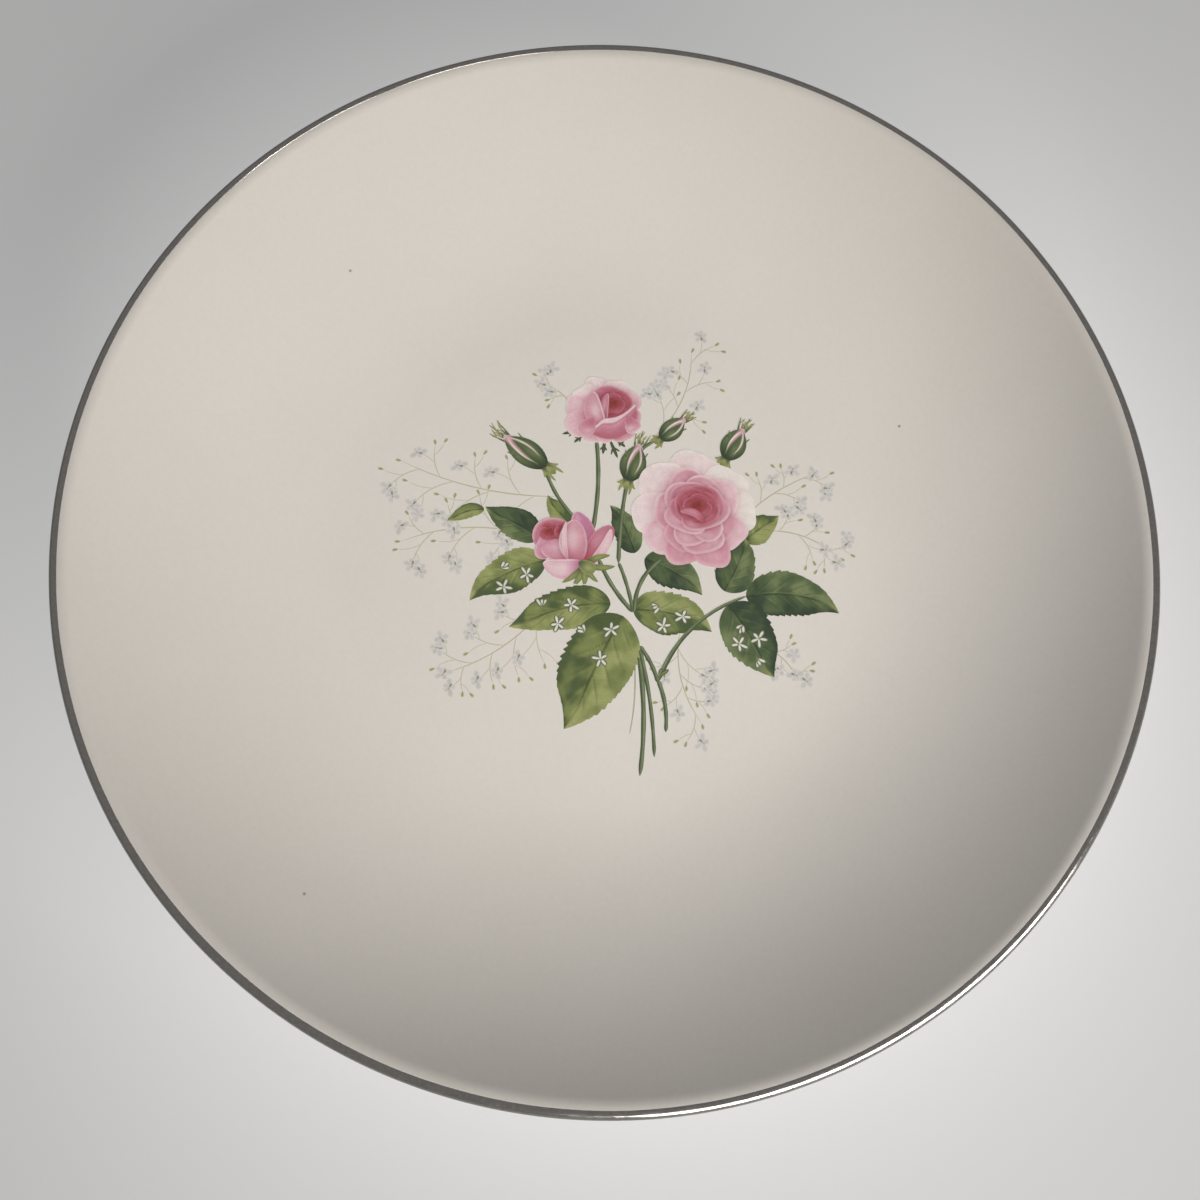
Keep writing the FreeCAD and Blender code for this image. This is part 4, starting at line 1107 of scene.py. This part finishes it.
stalks, florets = paint_sprays()
for sheet, name, node, slot in (
    (paint_large_rose(), "large_rose", "large_rose_enamel", "rose_pink"),
    (paint_top_rose(), "top_rose", "top_rose_enamel", "rose_pink"),
    (paint_half_open_rose(), "half_open_rose", "half_open_rose_enamel", "rose_pink"),
    (paint_buds(), "rosebuds", "rosebud_enamel", "deep_pink"),
    (paint_stems(), "stems", "stem_enamel", "stem_green"),
    (paint_star_flowers(), "star_flowers", "star_flower_enamel", "white_enamel"),
    (paint_leaves(DARK_LEAVES, DARK_TONES, DARK_LEAF_TOP), "dark_leaves", "dark_leaf_enamel", "dark_green"),
    (paint_leaves(LIGHT_LEAVES, LIGHT_TONES, LIGHT_LEAF_TOP), "light_leaves", "light_leaf_enamel",
     "light_green"),
    (florets, "spray_florets", "spray_floret_enamel", "grey_blue"),
    (stalks, "spray_stalks", "spray_stalk_enamel", "ochre_green"),
):
    sheet.build(name, node, slot)

# ---- studio ----


def aimed(obj, place, target, up):
    """Puts a camera or light at a place, looking at a target, with up as near as it can be to a given way."""
    place, target = Vector(place), Vector(target)
    back = (place - target).normalized()
    right = Vector(up).cross(back).normalized()
    turn = Matrix((right, back.cross(right), back)).transposed()
    obj.matrix_world = Matrix.Translation(place) @ turn.to_4x4()


def lamp(name, kind, azimuth, elevation, distance, power, colour, **settings):
    """A lamp that faces the plate. Azimuth is anticlockwise from +X, in degrees."""
    light = bpy.data.lights.new(name, kind)
    light.energy = power
    light.color = colour
    for key, value in settings.items():
        setattr(light, key, value)
    obj = bpy.data.objects.new(name, light)
    bpy.context.scene.collection.objects.link(obj)
    a, e = math.radians(azimuth), math.radians(elevation)
    level = distance * math.cos(e)
    place = (level * math.cos(a), level * math.sin(a), distance * math.sin(e))
    aimed(obj, place, (0, 0, 0.01), (0, 0, 1))
    return obj


def panel(name, distance, power, width, **settings):
    """A flat lamp in the key light's direction."""
    return lamp(name, "AREA", KEY_AZIMUTH, KEY_ELEVATION, distance, power, KEY_COLOUR, shape="RECTANGLE",
                size=width, size_y=PANEL_HEIGHT, **settings)


# Studio sizes in metres, angles in degrees, and the camera's sensor in millimetres.
FLOOR_HALF = 20.0
FLOOR_DROP = 5e-5
KEY_AZIMUTH = -56
KEY_ELEVATION = 21
KEY_COLOUR = (1.0, 0.975, 0.94)
PANEL_HEIGHT = 0.3
OVERHEAD_DISTANCE = 1.5
POOL_RADIUS = 0.205
FILL = (0.045, 0.045, 0.046)
MIRRORED = (0.20, 0.20, 0.20)
BACKDROP = (0.80, 0.80, 0.80)
SENSOR = 36.0
HALF_VIEW = 25
CAMERA_PLACE = (-0.01107, -0.08355, 0.31549)
CAMERA_TARGET = (-0.00265, -0.01685, 0.026)

corner_signs = ((-1, -1), (1, -1), (1, 1), (-1, 1))
floor_corners = [(x * FLOOR_HALF, y * FLOOR_HALF, -FLOOR_DROP) for x, y in corner_signs]
floor_mesh = bpy.data.meshes.new("floor")
floor_mesh.from_pydata(floor_corners, [], [(0, 1, 2, 3)])
floor = bpy.data.objects.new("floor", floor_mesh)
floor_mesh.materials.append(floor_material())
bpy.context.scene.collection.objects.link(floor)

key = panel("key", 1.0, 4.55, 0.94, spread=math.radians(120))
key.visible_glossy = False

# The glaze mirrors this fainter panel in place of the key lamp, so that glare doesn't hide the print.
sheen = panel("sheen", 0.95, 0.8, 0.9)
sheen.visible_diffuse = False

# The burnished metal alone mirrors this brighter panel, as a thin streak at the lower right.
glint = panel("glint", 0.90, 9.0, 0.9)
glint.visible_diffuse = False
metal_only = bpy.data.collections.new("metal_only")
metal_only.objects.link(line)
glint.light_linking.receiver_collection = metal_only

overhead = lamp("overhead", "SPOT", -95, 84, OVERHEAD_DISTANCE, 55.5, (1.0, 0.99, 0.975), spot_blend=1.0,
                shadow_soft_size=0.06, spot_size=2 * math.atan(POOL_RADIUS / OVERHEAD_DISTANCE))
overhead.visible_glossy = False

# The surroundings are pale to the camera, grey where they are mirrored, and dim as fill light.
world = bpy.data.worlds.new("studio")
bpy.context.scene.world = world
studio = Nodes(world)
ray = studio.add("ShaderNodeLightPath").outputs
surroundings = studio.blend(ray["Is Glossy Ray"], rgba(FILL), rgba(MIRRORED))
surroundings = studio.blend(ray["Is Camera Ray"], surroundings, rgba(BACKDROP))
studio.feed(studio.tree.nodes["Background"].inputs["Color"], surroundings)

camera_data = bpy.data.cameras.new("camera")
camera_data.sensor_width = SENSOR
camera_data.lens = SENSOR / 2 / math.tan(math.radians(HALF_VIEW))
camera_data.clip_start = 0.01
camera = bpy.data.objects.new("camera", camera_data)
bpy.context.scene.collection.objects.link(camera)
aimed(camera, CAMERA_PLACE, CAMERA_TARGET, (0, 1, 0))
bpy.context.scene.camera = camera
bpy.context.scene.view_settings.view_transform = "Standard"
